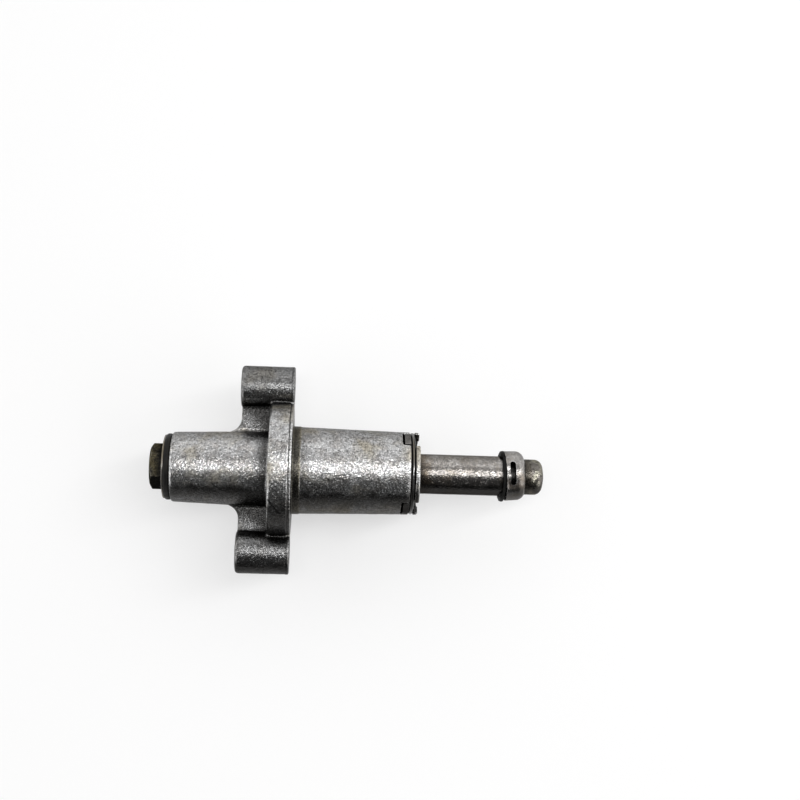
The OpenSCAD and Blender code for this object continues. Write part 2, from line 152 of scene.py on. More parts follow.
class Mesh:
    """Mesh steps that several pieces share. All sizes are in millimetres."""

    @staticmethod
    def turned(outline: Sequence[Point], steps: int, closed: bool = False,
               angle: float = FULL_TURN, start: float = 0.0) -> BMesh:
        """Turns an outline of X and radius around the X axis.

        Args:
            outline: the points.
            steps: number of steps around.
            closed: joins the last point to the first.
            angle: how far it is turned, in radians from +Y towards +Z.
            start: angle of the first section.

        Returns:
            The turned mesh.
        """
        shape = bmesh.new()
        verts = [shape.verts.new((x, r, 0.0)) for x, r in outline]
        pairs = list(zip(verts, verts[1:])) + ([(verts[-1], verts[0])] if closed else [])
        edges = [shape.edges.new(pair) for pair in pairs]
        full = angle > FULL_TURN - TINY
        if closed and not full:
            shape.faces.new(verts)
        geometry = verts + edges + list(shape.faces)
        bmesh.ops.spin(shape, geom=geometry, cent=(0, 0, 0), axis=(1, 0, 0), dvec=(0, 0, 0),
                       angle=angle, steps=steps, use_merge=full, use_duplicate=False)
        bmesh.ops.remove_doubles(shape, verts=shape.verts, dist=TINY)
        bmesh.ops.recalc_face_normals(shape, faces=shape.faces)
        bmesh.ops.rotate(shape, verts=shape.verts, cent=(0, 0, 0),
                         matrix=Matrix.Rotation(start, 3, "X"))
        return shape

    @staticmethod
    def block(low: Sequence[float], high: Sequence[float], turn: float = 0.0) -> BMesh:
        """A box between two corners, turned around the X axis.

        Args:
            low: its lowest corner.
            high: its highest corner.
            turn: angle around X, in degrees from +Y towards +Z.

        Returns:
            The box.
        """
        shape = bmesh.new()
        bmesh.ops.create_cube(shape, size=1.0)
        middle = (Vector(low) + Vector(high)) / 2
        bmesh.ops.scale(shape, verts=shape.verts, vec=Vector(high) - Vector(low))
        bmesh.ops.translate(shape, verts=shape.verts, vec=middle)
        bmesh.ops.rotate(shape, verts=shape.verts, cent=(0, 0, 0),
                         matrix=Matrix.Rotation(math.radians(turn), 3, "X"))
        return shape

    @staticmethod
    def prism(outline: Iterable[Sequence[float]], depth: Sequence[float]) -> BMesh:
        """A flat outline pushed along a vector.

        Args:
            outline: the corners in space.
            depth: the vector.

        Returns:
            The solid.
        """
        shape = bmesh.new()
        face = shape.faces.new([shape.verts.new(p) for p in outline])
        pushed = bmesh.ops.extrude_face_region(shape, geom=[face])
        moved = [g for g in pushed["geom"] if isinstance(g, BMVert)]
        bmesh.ops.translate(shape, verts=moved, vec=depth)
        bmesh.ops.recalc_face_normals(shape, faces=shape.faces)
        return shape

    @staticmethod
    def temporary(shape: BMesh, name: str = "work") -> bpy.types.Object:
        """Makes an object from a mesh, which is freed.

        Args:
            shape: the mesh.
            name: the object's name.

        Returns:
            The object.
        """
        data = bpy.data.meshes.new(name)
        shape.to_mesh(data)
        shape.free()
        made = bpy.data.objects.new(name, data)
        bpy.context.scene.collection.objects.link(made)
        return made

    @staticmethod
    def baked(piece: bpy.types.Object) -> BMesh:
        """Reads an object's mesh with its modifiers on, and removes the object.

        Args:
            piece: the object.

        Returns:
            The mesh.
        """
        bpy.context.view_layer.update()
        ready = piece.evaluated_get(bpy.context.evaluated_depsgraph_get())
        data = bpy.data.meshes.new_from_object(ready)
        shape = bmesh.new()
        shape.from_mesh(data)
        bpy.data.meshes.remove(data)
        bpy.data.meshes.remove(piece.data)
        return shape

    @classmethod
    def worked(cls, base: BMesh, tools: Sequence[BMesh], cut: Cut) -> BMesh:
        """Joins meshes to a base or cuts them from it.

        Args:
            base: the mesh that is worked on.
            tools: the meshes that work on it. All are freed.
            cut: what they do.

        Returns:
            The result.
        """
        target = cls.temporary(base)
        helpers = [cls.temporary(tool, "tool") for tool in tools]
        for helper in helpers:
            step = target.modifiers.new("cut", "BOOLEAN")
            step.operation = cut.value
            step.solver = "EXACT"
            step.object = helper
        result = cls.baked(target)
        for helper in helpers:
            bpy.data.meshes.remove(helper.data)
        return result

    @staticmethod
    def bevelled(shape: BMesh, width: float, limit_deg: float = 40.0, segments: int = 2) -> BMesh:
        """Rounds every edge that is sharper than a limit.

        Args:
            shape: the mesh.
            width: the bevel's width.
            limit_deg: the least angle between faces.
            segments: number of segments in the round.

        Returns:
            The same mesh.
        """
        limit = math.radians(limit_deg)
        sharp = [e for e in shape.edges if e.calc_face_angle(0.0) > limit]
        bmesh.ops.bevel(shape, geom=sharp, offset=width, offset_type="OFFSET", affect="EDGES",
                        segments=segments, profile=0.5, material=-1, clamp_overlap=True)
        return shape

    @staticmethod
    def dented(shape: BMesh, dent: Dent, corner: Sequence[float]) -> None:
        """Pushes in the surface around a place, as a blow would.

        Args:
            shape: the mesh.
            dent: the dent.
            corner: the place that the dent is counted from.
        """
        middle = Vector([start + step for start, step in zip(corner, dent.place)])
        for vert in shape.verts:
            away = vert.co - middle
            share = math.sqrt(sum((a / r) ** 2 for a, r in zip(away, dent.reach)))
            if share < 1:
                vert.co += Vector(dent.push) * ease(1 - share)


class Sheet:
    """A small helper around one node tree, which adds and links its nodes."""

    def __init__(self, tree: Tree) -> None:
        """Keeps the tree that nodes are added to."""
        self.tree = tree

    def add(self, kind: str, **settings: object) -> Node:
        """Adds a node and sets its properties.

        Args:
            kind: the node's type name without its ShaderNode start.
            settings: properties of the node by name.

        Returns:
            The new node.
        """
        node = self.tree.nodes.new("ShaderNode" + kind)
        for name, value in settings.items():
            setattr(node, name, value)
        return node

    def feed(self, socket: Socket, value: object) -> None:
        """Links a socket to an output, or sets its plain value.

        Args:
            socket: the input to fill.
            value: an output socket, a number or a tuple.
        """
        if isinstance(value, Socket):
            self.tree.links.new(value, socket)
        elif socket.type == "RGBA" and len(value) == 3:
            socket.default_value = (*value, 1.0)
        else:
            socket.default_value = value

    def maths(self, operation: str, *values: object, clamp: bool = False) -> Socket:
        """A maths node's output.

        Args:
            operation: the name of the operation.
            values: its inputs in order.
            clamp: keeps the result between 0 and 1.

        Returns:
            The output socket.
        """
        node = self.add("Math", operation=operation, use_clamp=clamp)
        for socket, value in zip(node.inputs, values):
            self.feed(socket, value)
        return node.outputs[0]

    def ramp(self, value: object, low: float, high: float, smooth: bool = True,
             to_low: float = 0.0, to_high: float = 1.0) -> Socket:
        """Maps a value between two limits onto another range.

        Args:
            value: the input.
            low: the input that gives to_low.
            high: the input that gives to_high.
            smooth: eases the ends.
            to_low: output at low.
            to_high: output at high.

        Returns:
            The output socket.
        """
        kind = "SMOOTHSTEP" if smooth else "LINEAR"
        node = self.add("MapRange", interpolation_type=kind)
        for name, item in (("Value", value), ("From Min", low), ("From Max", high),
                           ("To Min", to_low), ("To Max", to_high)):
            self.feed(node.inputs[name], item)
        return node.outputs["Result"]

    def mix(self, factor: object, a: object, b: object, blend: str = "MIX") -> Socket:
        """Mixes two colours.

        Args:
            factor: share of b.
            a: first colour.
            b: second colour.
            blend: how the two are blended.

        Returns:
            The mixed colour.
        """
        node = self.add("Mix", data_type="RGBA", blend_type=blend)
        self.feed(node.inputs[0], factor)
        self.feed(node.inputs[6], a)
        self.feed(node.inputs[7], b)
        return node.outputs[2]

    def noise(self, vector: object, scale: object, detail: float = 3.0,
              roughness: float = 0.5, distortion: float = 0.0) -> Socket:
        """A noise pattern.

        Args:
            vector: the coordinates.
            scale: features for each metre.
            detail: number of octaves.
            roughness: strength of the finer octaves.
            distortion: how much the pattern is warped.

        Returns:
            The noise value, around 0.5.
        """
        node = self.add("TexNoise", noise_dimensions="3D")
        for name, item in (("Vector", vector), ("Scale", scale), ("Detail", detail),
                           ("Roughness", roughness), ("Distortion", distortion)):
            self.feed(node.inputs[name], item)
        return node.outputs[0]

    def waver(self, vector: object, scale: float, detail: float = 3.0) -> Socket:
        """Noise around 0, which makes an edge uneven."""
        return self.maths("SUBTRACT", self.noise(vector, scale, detail), NOISE_MIDDLE)

    def vector(self, operation: str, *values: object) -> Node:
        """A vector maths node with its inputs filled.

        Args:
            operation: the name of the operation.
            values: its inputs in order.

        Returns:
            The node, since its output depends on the operation.
        """
        node = self.add("VectorMath", operation=operation)
        for socket, value in zip(node.inputs, values):
            self.feed(socket, value)
        return node

    def group(self, tree: Tree, **values: float) -> Node:
        """Places a node group and sets its inputs.

        Args:
            tree: the group.
            values: inputs by name.

        Returns:
            The group's node.
        """
        node = self.add("Group", node_tree=tree)
        for name, value in values.items():
            node.inputs[name].default_value = value
        return node


class Effects:
    """Node groups that several finishes share. Each is built once.

    A pair of numbers gives the values of an input between which a mask rises from 0 to 1. A scale
    is in features for each metre, and LUMP_SCALE is a share of the coarse one.
    """

    FINE_SCALE = 2600.0
    COARSE_SCALE = 1500.0
    LUMP_SCALE = 0.7
    CRACK = (0.2, 0.75)
    PIT = (0.06, 0.26)
    LUMP_PIT = (0.52, 0.44)
    DOT_SHARE = 0.6
    LUMP_SHARE = 0.4
    PIT_TONE = -0.12
    PIT_HEIGHT = -0.4
    CRACK_HEIGHT = -0.35
    EDGE_BEND = (0.02, 0.16)
    OUTER_EDGE = (0.485, 0.5)
    WEAR_SCALE = 700.0
    WEAR_LEFT = (0.34, 0.56)
    STAIN_LEVEL = 0.85
    STAIN_COVER = 0.5
    STAIN_EDGE = 0.22
    BAND_SCALE = 500.0
    BAND_WAVER = 3.0
    BAND_EDGE = (-0.5, 0.5)
    # The constants from here to HOLLOW shape the painted shade: faces turned down and towards -Y
    # or +Y, creases and inner corners.
    SHADE_SCALE = 260.0
    SHADE_WAVER = 0.3
    NEAR_BELOW = (0.0, -0.8, -0.6)
    FAR_BELOW = (0.0, 0.8, -0.6)
    FORWARD = (1.0, 0.0, 0.0)
    FAR_LUG = (0.0178, 0.0188)
    BOTTOM = (0.25, 0.6)
    LOWER_SIDE = (-0.26, 0.055)
    UPPER_SIDE = (0.0, 0.3)
    SIDE_FACE = (0.9, 0.6)
    # The crease test leans towards +Y, where the light comes from, so faces hidden from that side
    # get painted shade.
    CREASE_TILT = (0.0, 0.6, 0.0)
    CREASE_RAYS = 12
    CREASE = (0.86, 0.6)
    HOLLOW = (0.49, 0.455)
    MARK_SCALE = 1500.0
    MARK_WAVER = 0.9
    MARK_EDGE = (1.0, 0.6)

    def __init__(self) -> None:
        """Builds every shared group."""
        self.grain = self._build("surface_grain", self._fill_grain,
                                 (("Scale", 1.0), ("Pits", 1.0)), ("Speckle", "Height"))
        self.wear = self._build("edge_wear", self._fill_wear,
                                (("Radius", 0.0004), ("Reach", 1.0)), ("Mask",))
        self.stain = self._build("stain", self._fill_stain,
                                 (("Scale", 100.0), ("Cover", 0.5)), ("Mask",))
        self.band = self._build("stain_and_shade_band", self._fill_band,
                                (("Start", 0.0), ("End", 1.0), ("Blur", 0.001),
                                 ("Clear", 0.0), ("Reach", 1.0)), ("Mask",))
        # Painted shade on the lower side, in the creases and in inner corners.
        self.painted_shade = self._build("lower_side_painted_shade", self._fill_painted_shade,
                                 (("Lift", 0.1), ("Upper", 0.4), ("Distance", 0.006),
                                  ("Hollow", 0.0), ("Spared", 0.0)),
                                 ("Mask", "Crease"))
        self.mark = self._build("mark", self._fill_mark,
                                (("StartX", 0.0), ("StartY", 0.0), ("StartZ", 0.0),
                                 ("RunX", 1.0), ("RunY", 0.0), ("RunZ", 0.0),
                                 ("Length", 0.0), ("Width", 0.001)), ("Mask",))

    @staticmethod
    def _build(name: str, fill: Callable[[Sheet, Node, Node], None],
               ins: Sequence[tuple[str, float]], outs: Sequence[str]) -> Tree:
        """Makes a group with float inputs and outputs and fills it.

        Args:
            name: the group's name.
            fill: the function that adds the nodes.
            ins: name and default of each input.
            outs: name of each output.

        Returns:
            The node group.
        """
        tree = bpy.data.node_groups.new(name, "ShaderNodeTree")
        for label, value in ins:
            socket = tree.interface.new_socket(label, in_out="INPUT",
                                               socket_type="NodeSocketFloat")
            socket.default_value = value
        for label in outs:
            tree.interface.new_socket(label, in_out="OUTPUT", socket_type="NodeSocketFloat")
        source = tree.nodes.new("NodeGroupInput")
        target = tree.nodes.new("NodeGroupOutput")
        fill(Sheet(tree), source, target)
        return tree

    def _fill_grain(self, sheet: Sheet, source: Node, target: Node) -> None:
        """Fine cast or blasted grain, as a colour mask and a height.

        Args:
            sheet: the group's sheet.
            source: its inputs.
            target: its outputs.
        """
        place = sheet.add("TexCoord").outputs["Object"]
        fine = sheet.maths("MULTIPLY", source.outputs["Scale"], self.FINE_SCALE)
        coarse = sheet.maths("MULTIPLY", source.outputs["Scale"], self.COARSE_SCALE)
        wide = sheet.maths("MULTIPLY", coarse, self.LUMP_SCALE)
        dots = sheet.noise(place, fine, detail=2.0, roughness=0.7)
        lumps = sheet.noise(place, wide, detail=2.0, roughness=0.6)
        cells = sheet.add("TexVoronoi", feature="F1")
        sheet.feed(cells.inputs["Vector"], place)
        sheet.feed(cells.inputs["Scale"], coarse)
        crack = sheet.ramp(cells.outputs["Distance"], *self.CRACK, False)
        pit = sheet.ramp(cells.outputs["Distance"], *self.PIT)
        pit = sheet.maths("ADD", pit, sheet.ramp(lumps, *self.LUMP_PIT), clamp=True)
        pit_depth = sheet.maths("MULTIPLY", sheet.maths("SUBTRACT", 1.0, pit),
                                source.outputs["Pits"])
        lumpy = sheet.maths("MULTIPLY", lumps, self.LUMP_SHARE)
        speckle = sheet.maths("MULTIPLY_ADD", dots, self.DOT_SHARE, lumpy)
        speckle = sheet.maths("MULTIPLY_ADD", pit_depth, self.PIT_TONE, speckle)
        height = sheet.maths("MULTIPLY_ADD", crack, self.CRACK_HEIGHT, speckle)
        height = sheet.maths("MULTIPLY_ADD", pit_depth, self.PIT_HEIGHT, height)
        sheet.feed(target.inputs["Speckle"], speckle)
        sheet.feed(target.inputs["Height"], height)

    def _fill_wear(self, sheet: Sheet, source: Node, target: Node) -> None:
        """Mask of worn edges, broken up by noise.

        Args:
            sheet: the group's sheet.
            source: its inputs.
            target: its outputs.
        """
        place = sheet.add("TexCoord").outputs["Object"]
        bevel = sheet.add("Bevel", samples=4)
        sheet.feed(bevel.inputs["Radius"], source.outputs["Radius"])
        face = sheet.add("NewGeometry")
        dot = sheet.vector("DOT_PRODUCT", bevel.outputs["Normal"], face.outputs["Normal"])
        bend = sheet.maths("SUBTRACT", 1.0, dot.outputs["Value"])
        edge = sheet.ramp(bend, *self.EDGE_BEND)
        outer = sheet.ramp(face.outputs["Pointiness"], *self.OUTER_EDGE)
        edge = sheet.maths("MULTIPLY", edge, outer)
        cloud = sheet.noise(place, self.WEAR_SCALE, roughness=0.6)
        broken = sheet.ramp(cloud, *self.WEAR_LEFT)
        mask = sheet.maths("MULTIPLY", sheet.maths("MULTIPLY", edge, broken),
                           source.outputs["Reach"], clamp=True)
        sheet.feed(target.inputs["Mask"], mask)

    def _fill_stain(self, sheet: Sheet, source: Node, target: Node) -> None:
        """Soft patches of dirt or heat colour.

        Args:
            sheet: the group's sheet.
            source: its inputs.
            target: its outputs.
        """
        place = sheet.add("TexCoord").outputs["Object"]
        cloud = sheet.noise(place, source.outputs["Scale"], detail=4.0, roughness=0.6,
                            distortion=0.4)
        cover = sheet.maths("MULTIPLY", source.outputs["Cover"], self.STAIN_COVER)
        top = sheet.maths("SUBTRACT", self.STAIN_LEVEL, cover)
        bottom = sheet.maths("SUBTRACT", top, self.STAIN_EDGE)
        sheet.feed(target.inputs["Mask"], sheet.ramp(cloud, bottom, top))

    def _fill_band(self, sheet: Sheet, source: Node, target: Node) -> None:
        """A band of stain or of painted shade between two places on X, with uneven edges.

        Args:
            sheet: the group's sheet.
            source: its inputs.
            target: its outputs.
        """
        place = sheet.add("TexCoord").outputs["Object"]
        parts = sheet.add("SeparateXYZ")
        sheet.feed(parts.inputs[0], place)
        waver = sheet.waver(place, self.BAND_SCALE)
        blur = source.outputs["Blur"]
        reach = sheet.maths("MULTIPLY", blur, self.BAND_WAVER)
        along = sheet.maths("MULTIPLY_ADD", waver, reach, parts.outputs["X"])
        after = sheet.maths("SUBTRACT", along, source.outputs["Start"])
        before = sheet.maths("SUBTRACT", source.outputs["End"], along)
        inside = sheet.maths("MINIMUM", after, before)
        share = sheet.ramp(sheet.maths("DIVIDE", inside, blur), *self.BAND_EDGE)
        around = sheet.add("CombineXYZ")
        sheet.feed(around.inputs["Y"], parts.outputs["Y"])
        sheet.feed(around.inputs["Z"], parts.outputs["Z"])
        radius = sheet.vector("LENGTH", around.outputs[0])
        held = sheet.maths("LESS_THAN", radius.outputs["Value"], source.outputs["Reach"])
        beyond = sheet.maths("GREATER_THAN", radius.outputs["Value"], source.outputs["Clear"])
        held = sheet.maths("MULTIPLY", held, beyond)
        sheet.feed(target.inputs["Mask"], sheet.maths("MULTIPLY", share, held))

    def _fill_painted_shade(self, sheet: Sheet, source: Node, target: Node) -> None:
        """Mask of painted shade, darker on the lower side, in the creases and in sharp inner
        corners.

        Args:
            sheet: the group's sheet.
            source: its inputs.
            target: its outputs.
        """
        coords = sheet.add("TexCoord")
        waver = sheet.waver(coords.outputs["Object"], self.SHADE_SCALE)
        facings = []
        for direction in (self.NEAR_BELOW, self.FAR_BELOW, self.FORWARD):
            dot = sheet.vector("DOT_PRODUCT", coords.outputs["Normal"], direction)
            facings.append(sheet.maths("MULTIPLY_ADD", waver, self.SHADE_WAVER,
                                       dot.outputs["Value"]))
        parts = sheet.add("SeparateXYZ")
        sheet.feed(parts.inputs[0], coords.outputs["Object"])
        far = sheet.maths("MULTIPLY", sheet.ramp(parts.outputs["Y"], *self.FAR_LUG),
                          source.outputs["Spared"])
        under = sheet.maths("SUBTRACT", facings[0], far)
        lift = sheet.maths("MULTIPLY", sheet.ramp(under, *self.BOTTOM), source.outputs["Lift"])
        lower = sheet.maths("SUBTRACT", sheet.ramp(under, *self.LOWER_SIDE), lift, clamp=True)
        upper = sheet.maths("MULTIPLY", sheet.ramp(facings[1], *self.UPPER_SIDE),
                            source.outputs["Upper"])
        across = sheet.ramp(sheet.maths("ABSOLUTE", facings[2]), *self.SIDE_FACE)
        mask = sheet.maths("MULTIPLY", sheet.maths("MAXIMUM", lower, upper), across)
        face = sheet.add("NewGeometry")
        tilted = sheet.vector("ADD", face.outputs["Normal"], self.CREASE_TILT)
        towards = sheet.vector("NORMALIZE", tilted.outputs["Vector"])
        open_share = sheet.add("AmbientOcclusion", samples=self.CREASE_RAYS)
        sheet.feed(open_share.inputs["Distance"], source.outputs["Distance"])
        sheet.feed(open_share.inputs["Normal"], towards.outputs["Vector"])
        crease = sheet.ramp(open_share.outputs["AO"], *self.CREASE)
        hollow = sheet.ramp(face.outputs["Pointiness"], *self.HOLLOW)
        hollow = sheet.maths("MULTIPLY", hollow, source.outputs["Hollow"])
        crease = sheet.maths("MAXIMUM", crease, hollow)
        sheet.feed(target.inputs["Mask"], sheet.maths("MAXIMUM", mask, crease))
        sheet.feed(target.inputs["Crease"], crease)

    def _fill_mark(self, sheet: Sheet, source: Node, target: Node) -> None:
        """Mask of a pit or a scratch: whatever lies close to a short line.

        Args:
            sheet: the group's sheet.
            source: its inputs.
            target: its outputs.
        """
        place = sheet.add("TexCoord").outputs["Object"]
        start, run = sheet.add("CombineXYZ"), sheet.add("CombineXYZ")
        for axis in "XYZ":
            sheet.feed(start.inputs[axis], source.outputs["Start" + axis])
            sheet.feed(run.inputs[axis], source.outputs["Run" + axis])
        away = sheet.vector("SUBTRACT", place, start.outputs[0])
        along = sheet.vector("DOT_PRODUCT", away.outputs["Vector"], run.outputs[0])
        held = sheet.maths("MAXIMUM", along.outputs["Value"], 0.0)
        held = sheet.maths("MINIMUM", held, source.outputs["Length"])
        nearest = sheet.vector("SCALE", run.outputs[0])
        sheet.feed(nearest.inputs["Scale"], held)
        gap = sheet.vector("DISTANCE", away.outputs["Vector"], nearest.outputs["Vector"])
        share = sheet.maths("DIVIDE", gap.outputs["Value"], source.outputs["Width"])
        waver = sheet.waver(place, self.MARK_SCALE, detail=2.0)
        share = sheet.maths("MULTIPLY_ADD", waver, self.MARK_WAVER, share)
        sheet.feed(target.inputs["Mask"], sheet.ramp(share, *self.MARK_EDGE))


@dataclass(frozen=True)
class Band:
    """A band around the X axis, used for stains and for painted shade.

    Args:
        start: where it begins on X, in millimetres.
        end: where it ends.
        colour: its colour.
        blur: width of its soft edge.
        strength: how much it covers.
        clear: the radius around X outside which it lies, in millimetres.
        reach: the radius around X within which it lies.
    """

    start: float
    end: float
    colour: Colour
    blur: float = 1.0
    strength: float = 0.8
    clear: float = 0.0
    reach: float = 100.0


@dataclass(frozen=True)
class Mark:
    """A pit, a spot or a scratch along a short line.

    Args:
        start: where the line begins, in millimetres.
        end: where it ends.
        width: how far the mark reaches from the line.
        colour: the mark's colour.
        strength: how much it covers.
    """

    start: Place
    end: Place
    width: float
    colour: Colour
    strength: float = 0.85


@dataclass(frozen=True)
class MetalFinish:
    """A bare metal surface with grain, mottling, stains and worn edges, and painted shade on its
    lower side and in its creases.

    Args:
        name: the material's name.
        base: clean colour.
        dark: colour of the mottled patches.
        stain: colour of the stains.
        edge: colour of the worn edges.
        rough: roughness of the clean metal.
        grain: size of the grain, where 1 is a sand cast skin.
        bump: depth of the grain in metres.
        speckle: contrast of the grain in the colour.
        mottle: cover of the mottled patches.
        stained: cover of the stains.
        wear: strength of the worn edges.
        metallic: how metallic the surface is.
        bands: bands along the plunger's axis, used for stains and for painted shade.
        marks: single pits and scratches.
        painted_shade: strength of the painted shade on the lower side and in the creases.
        lift: how much less of it lies at the very bottom.
        crease: how far the test for creases that get painted shade reaches, in millimetres.
        hollow: strength of the painted shade in sharp inner corners.
        spared: how much steeper a face of the far lug must be before painted shade lies on it.
        glance: strength of the reflection at a glancing angle.
        shade_colour: the painted shade's colour.
    """

    name: str
    base: Colour
    dark: Colour
    stain: Colour
    edge: Colour
    rough: float = 0.4
    grain: float = 1.0
    bump: float = 0.0001
    speckle: float = 0.5
    mottle: float = 0.5
    stained: float = 0.3
    wear: float = 0.6
    metallic: float = 1.0
    bands: tuple[Band, ...] = ()
    marks: tuple[Mark, ...] = ()
    painted_shade: float = 0.5
    lift: float = 0.1
    crease: float = 6.0
    hollow: float = 0.0
    spared: float = 0.0
    glance: float = 1.0
    shade_colour: Colour = SHADE_AND_OIL

    PATCH_SCALE = 260.0
    STAIN_SCALE = 90.0
    SPECKLE = (0.36, 0.64)
    SHADE_OFF_WEAR = -0.5
    STAIN_ROUGH = 0.12
    FLECK_ROUGH = -0.5

    def build(self, effects: Effects) -> bpy.types.Material:
        """Makes the material.

        Args:
            effects: the shared node groups.

        Returns:
            The finished material.
        """
        material = bpy.data.materials.new(self.name)
        material.use_nodes = True
        sheet = Sheet(material.node_tree)
        shader = material.node_tree.nodes["Principled BSDF"]
        grain = sheet.group(effects.grain, Scale=self.grain)
        wear = sheet.group(effects.wear, Reach=self.wear)
        patches = sheet.group(effects.stain, Scale=self.PATCH_SCALE, Cover=self.mottle)
        stains = sheet.group(effects.stain, Scale=self.STAIN_SCALE, Cover=self.stained)
        colour = sheet.mix(patches.outputs["Mask"], self.base, self.dark)
        colour = sheet.mix(stains.outputs["Mask"], colour, self.stain)
        for band in self.bands:
            mask = sheet.group(effects.band, Start=band.start * MM, End=band.end * MM,
                               Blur=band.blur * MM, Clear=band.clear * MM,
                               Reach=band.reach * MM)
            share = sheet.maths("MULTIPLY", mask.outputs["Mask"], band.strength)
            colour = sheet.mix(share, colour, band.colour)
        spread = sheet.ramp(grain.outputs["Speckle"], *self.SPECKLE, False,
                            1 - self.speckle, 1 + self.speckle)
        tint = sheet.add("CombineColor")
        for socket in tint.inputs[:3]:
            sheet.feed(socket, spread)
        colour = sheet.mix(1.0, colour, tint.outputs[0], "MULTIPLY")
        # Painted shade: the lower side, the creases and the inner corners darken towards the shade
        # colour, and wear is kept out of the creases.
        painted_shade = sheet.group(effects.painted_shade, Lift=self.lift, Distance=self.crease * MM,
                            Hollow=self.hollow, Spared=self.spared)
        clean = sheet.maths("SUBTRACT", 1.0, painted_shade.outputs["Crease"])
        worn = sheet.maths("MULTIPLY", wear.outputs["Mask"], clean)
        colour = sheet.mix(worn, colour, self.edge)
        for mark in self.marks:
            colour = sheet.mix(self.marked(sheet, effects, mark), colour, mark.colour)
        # The painted shade is mixed in last, and half of it is taken off worn edges.
        lower_shade = sheet.maths("MULTIPLY", painted_shade.outputs["Mask"], self.painted_shade)
        shade_left = sheet.maths("MULTIPLY_ADD", worn, self.SHADE_OFF_WEAR, 1.0)
        colour = sheet.mix(sheet.maths("MULTIPLY", lower_shade, shade_left), colour, self.shade_colour)
        sheet.feed(shader.inputs["Base Color"], colour)
        rough = sheet.maths("MULTIPLY_ADD", stains.outputs["Mask"], self.STAIN_ROUGH, self.rough)
        fleck = sheet.maths("SUBTRACT", grain.outputs["Speckle"], NOISE_MIDDLE)
        rough = sheet.maths("MULTIPLY_ADD", fleck, self.FLECK_ROUGH, rough, clamp=True)
        sheet.feed(shader.inputs["Roughness"], rough)
        shader.inputs["Metallic"].default_value = self.metallic
        shader.inputs["Specular Tint"].default_value = (self.glance,) * 3 + (1.0,)
        bump = sheet.add("Bump")
        bump.inputs["Distance"].default_value = self.bump
        sheet.feed(bump.inputs["Height"], grain.outputs["Height"])
        sheet.feed(shader.inputs["Normal"], bump.outputs["Normal"])
        return material

    @staticmethod
    def marked(sheet: Sheet, effects: Effects, mark: Mark) -> Socket:
        """Mask of one mark.

        Args:
            sheet: the material's sheet.
            effects: the shared node groups.
            mark: the mark.

        Returns:
            How much the mark covers.
        """
        line = Vector(mark.end) - Vector(mark.start)
        run = line.normalized()
        node = sheet.group(effects.mark, StartX=mark.start[0] * MM, StartY=mark.start[1] * MM,
                           StartZ=mark.start[2] * MM, RunX=run.x, RunY=run.y, RunZ=run.z,
                           Length=line.length * MM, Width=mark.width * MM)
        return sheet.maths("MULTIPLY", node.outputs["Mask"], mark.strength)


@dataclass(frozen=True)
class RubberFinish:
    """Black rubber with a faint oily sheen and dust.

    Args:
        name: the material's name.
        base: colour of the rubber.
        dust: colour of the dust that lies on it.
        rough: roughness of the clean rubber.
    """

    name: str
    base: Colour
    dust: Colour
    rough: float = 0.45

    DUST_SCALE = 500.0
    DUST_COVER = 0.5
    DUST_ROUGH = 0.2
    GRAIN_SIZE = 1.6
    GLOSS = 0.2
    BUMP = 0.00003

    def build(self, effects: Effects) -> bpy.types.Material:
        """Makes the material.

        Args:
            effects: the shared node groups.

        Returns:
            The finished material.
        """
        material = bpy.data.materials.new(self.name)
        material.use_nodes = True
        sheet = Sheet(material.node_tree)
        shader = material.node_tree.nodes["Principled BSDF"]
        stains = sheet.group(effects.stain, Scale=self.DUST_SCALE, Cover=self.DUST_COVER)
        grain = sheet.group(effects.grain, Scale=self.GRAIN_SIZE)
        colour = sheet.mix(stains.outputs["Mask"], self.base, self.dust)
        sheet.feed(shader.inputs["Base Color"], colour)
        rough = sheet.ramp(stains.outputs["Mask"], 0.0, 1.0, False, self.rough,
                           self.rough + self.DUST_ROUGH)
        sheet.feed(shader.inputs["Roughness"], rough)
        shader.inputs["Specular IOR Level"].default_value = self.GLOSS
        bump = sheet.add("Bump")
        bump.inputs["Distance"].default_value = self.BUMP
        sheet.feed(bump.inputs["Height"], grain.outputs["Height"])
        sheet.feed(shader.inputs["Normal"], bump.outputs["Normal"])
        return material


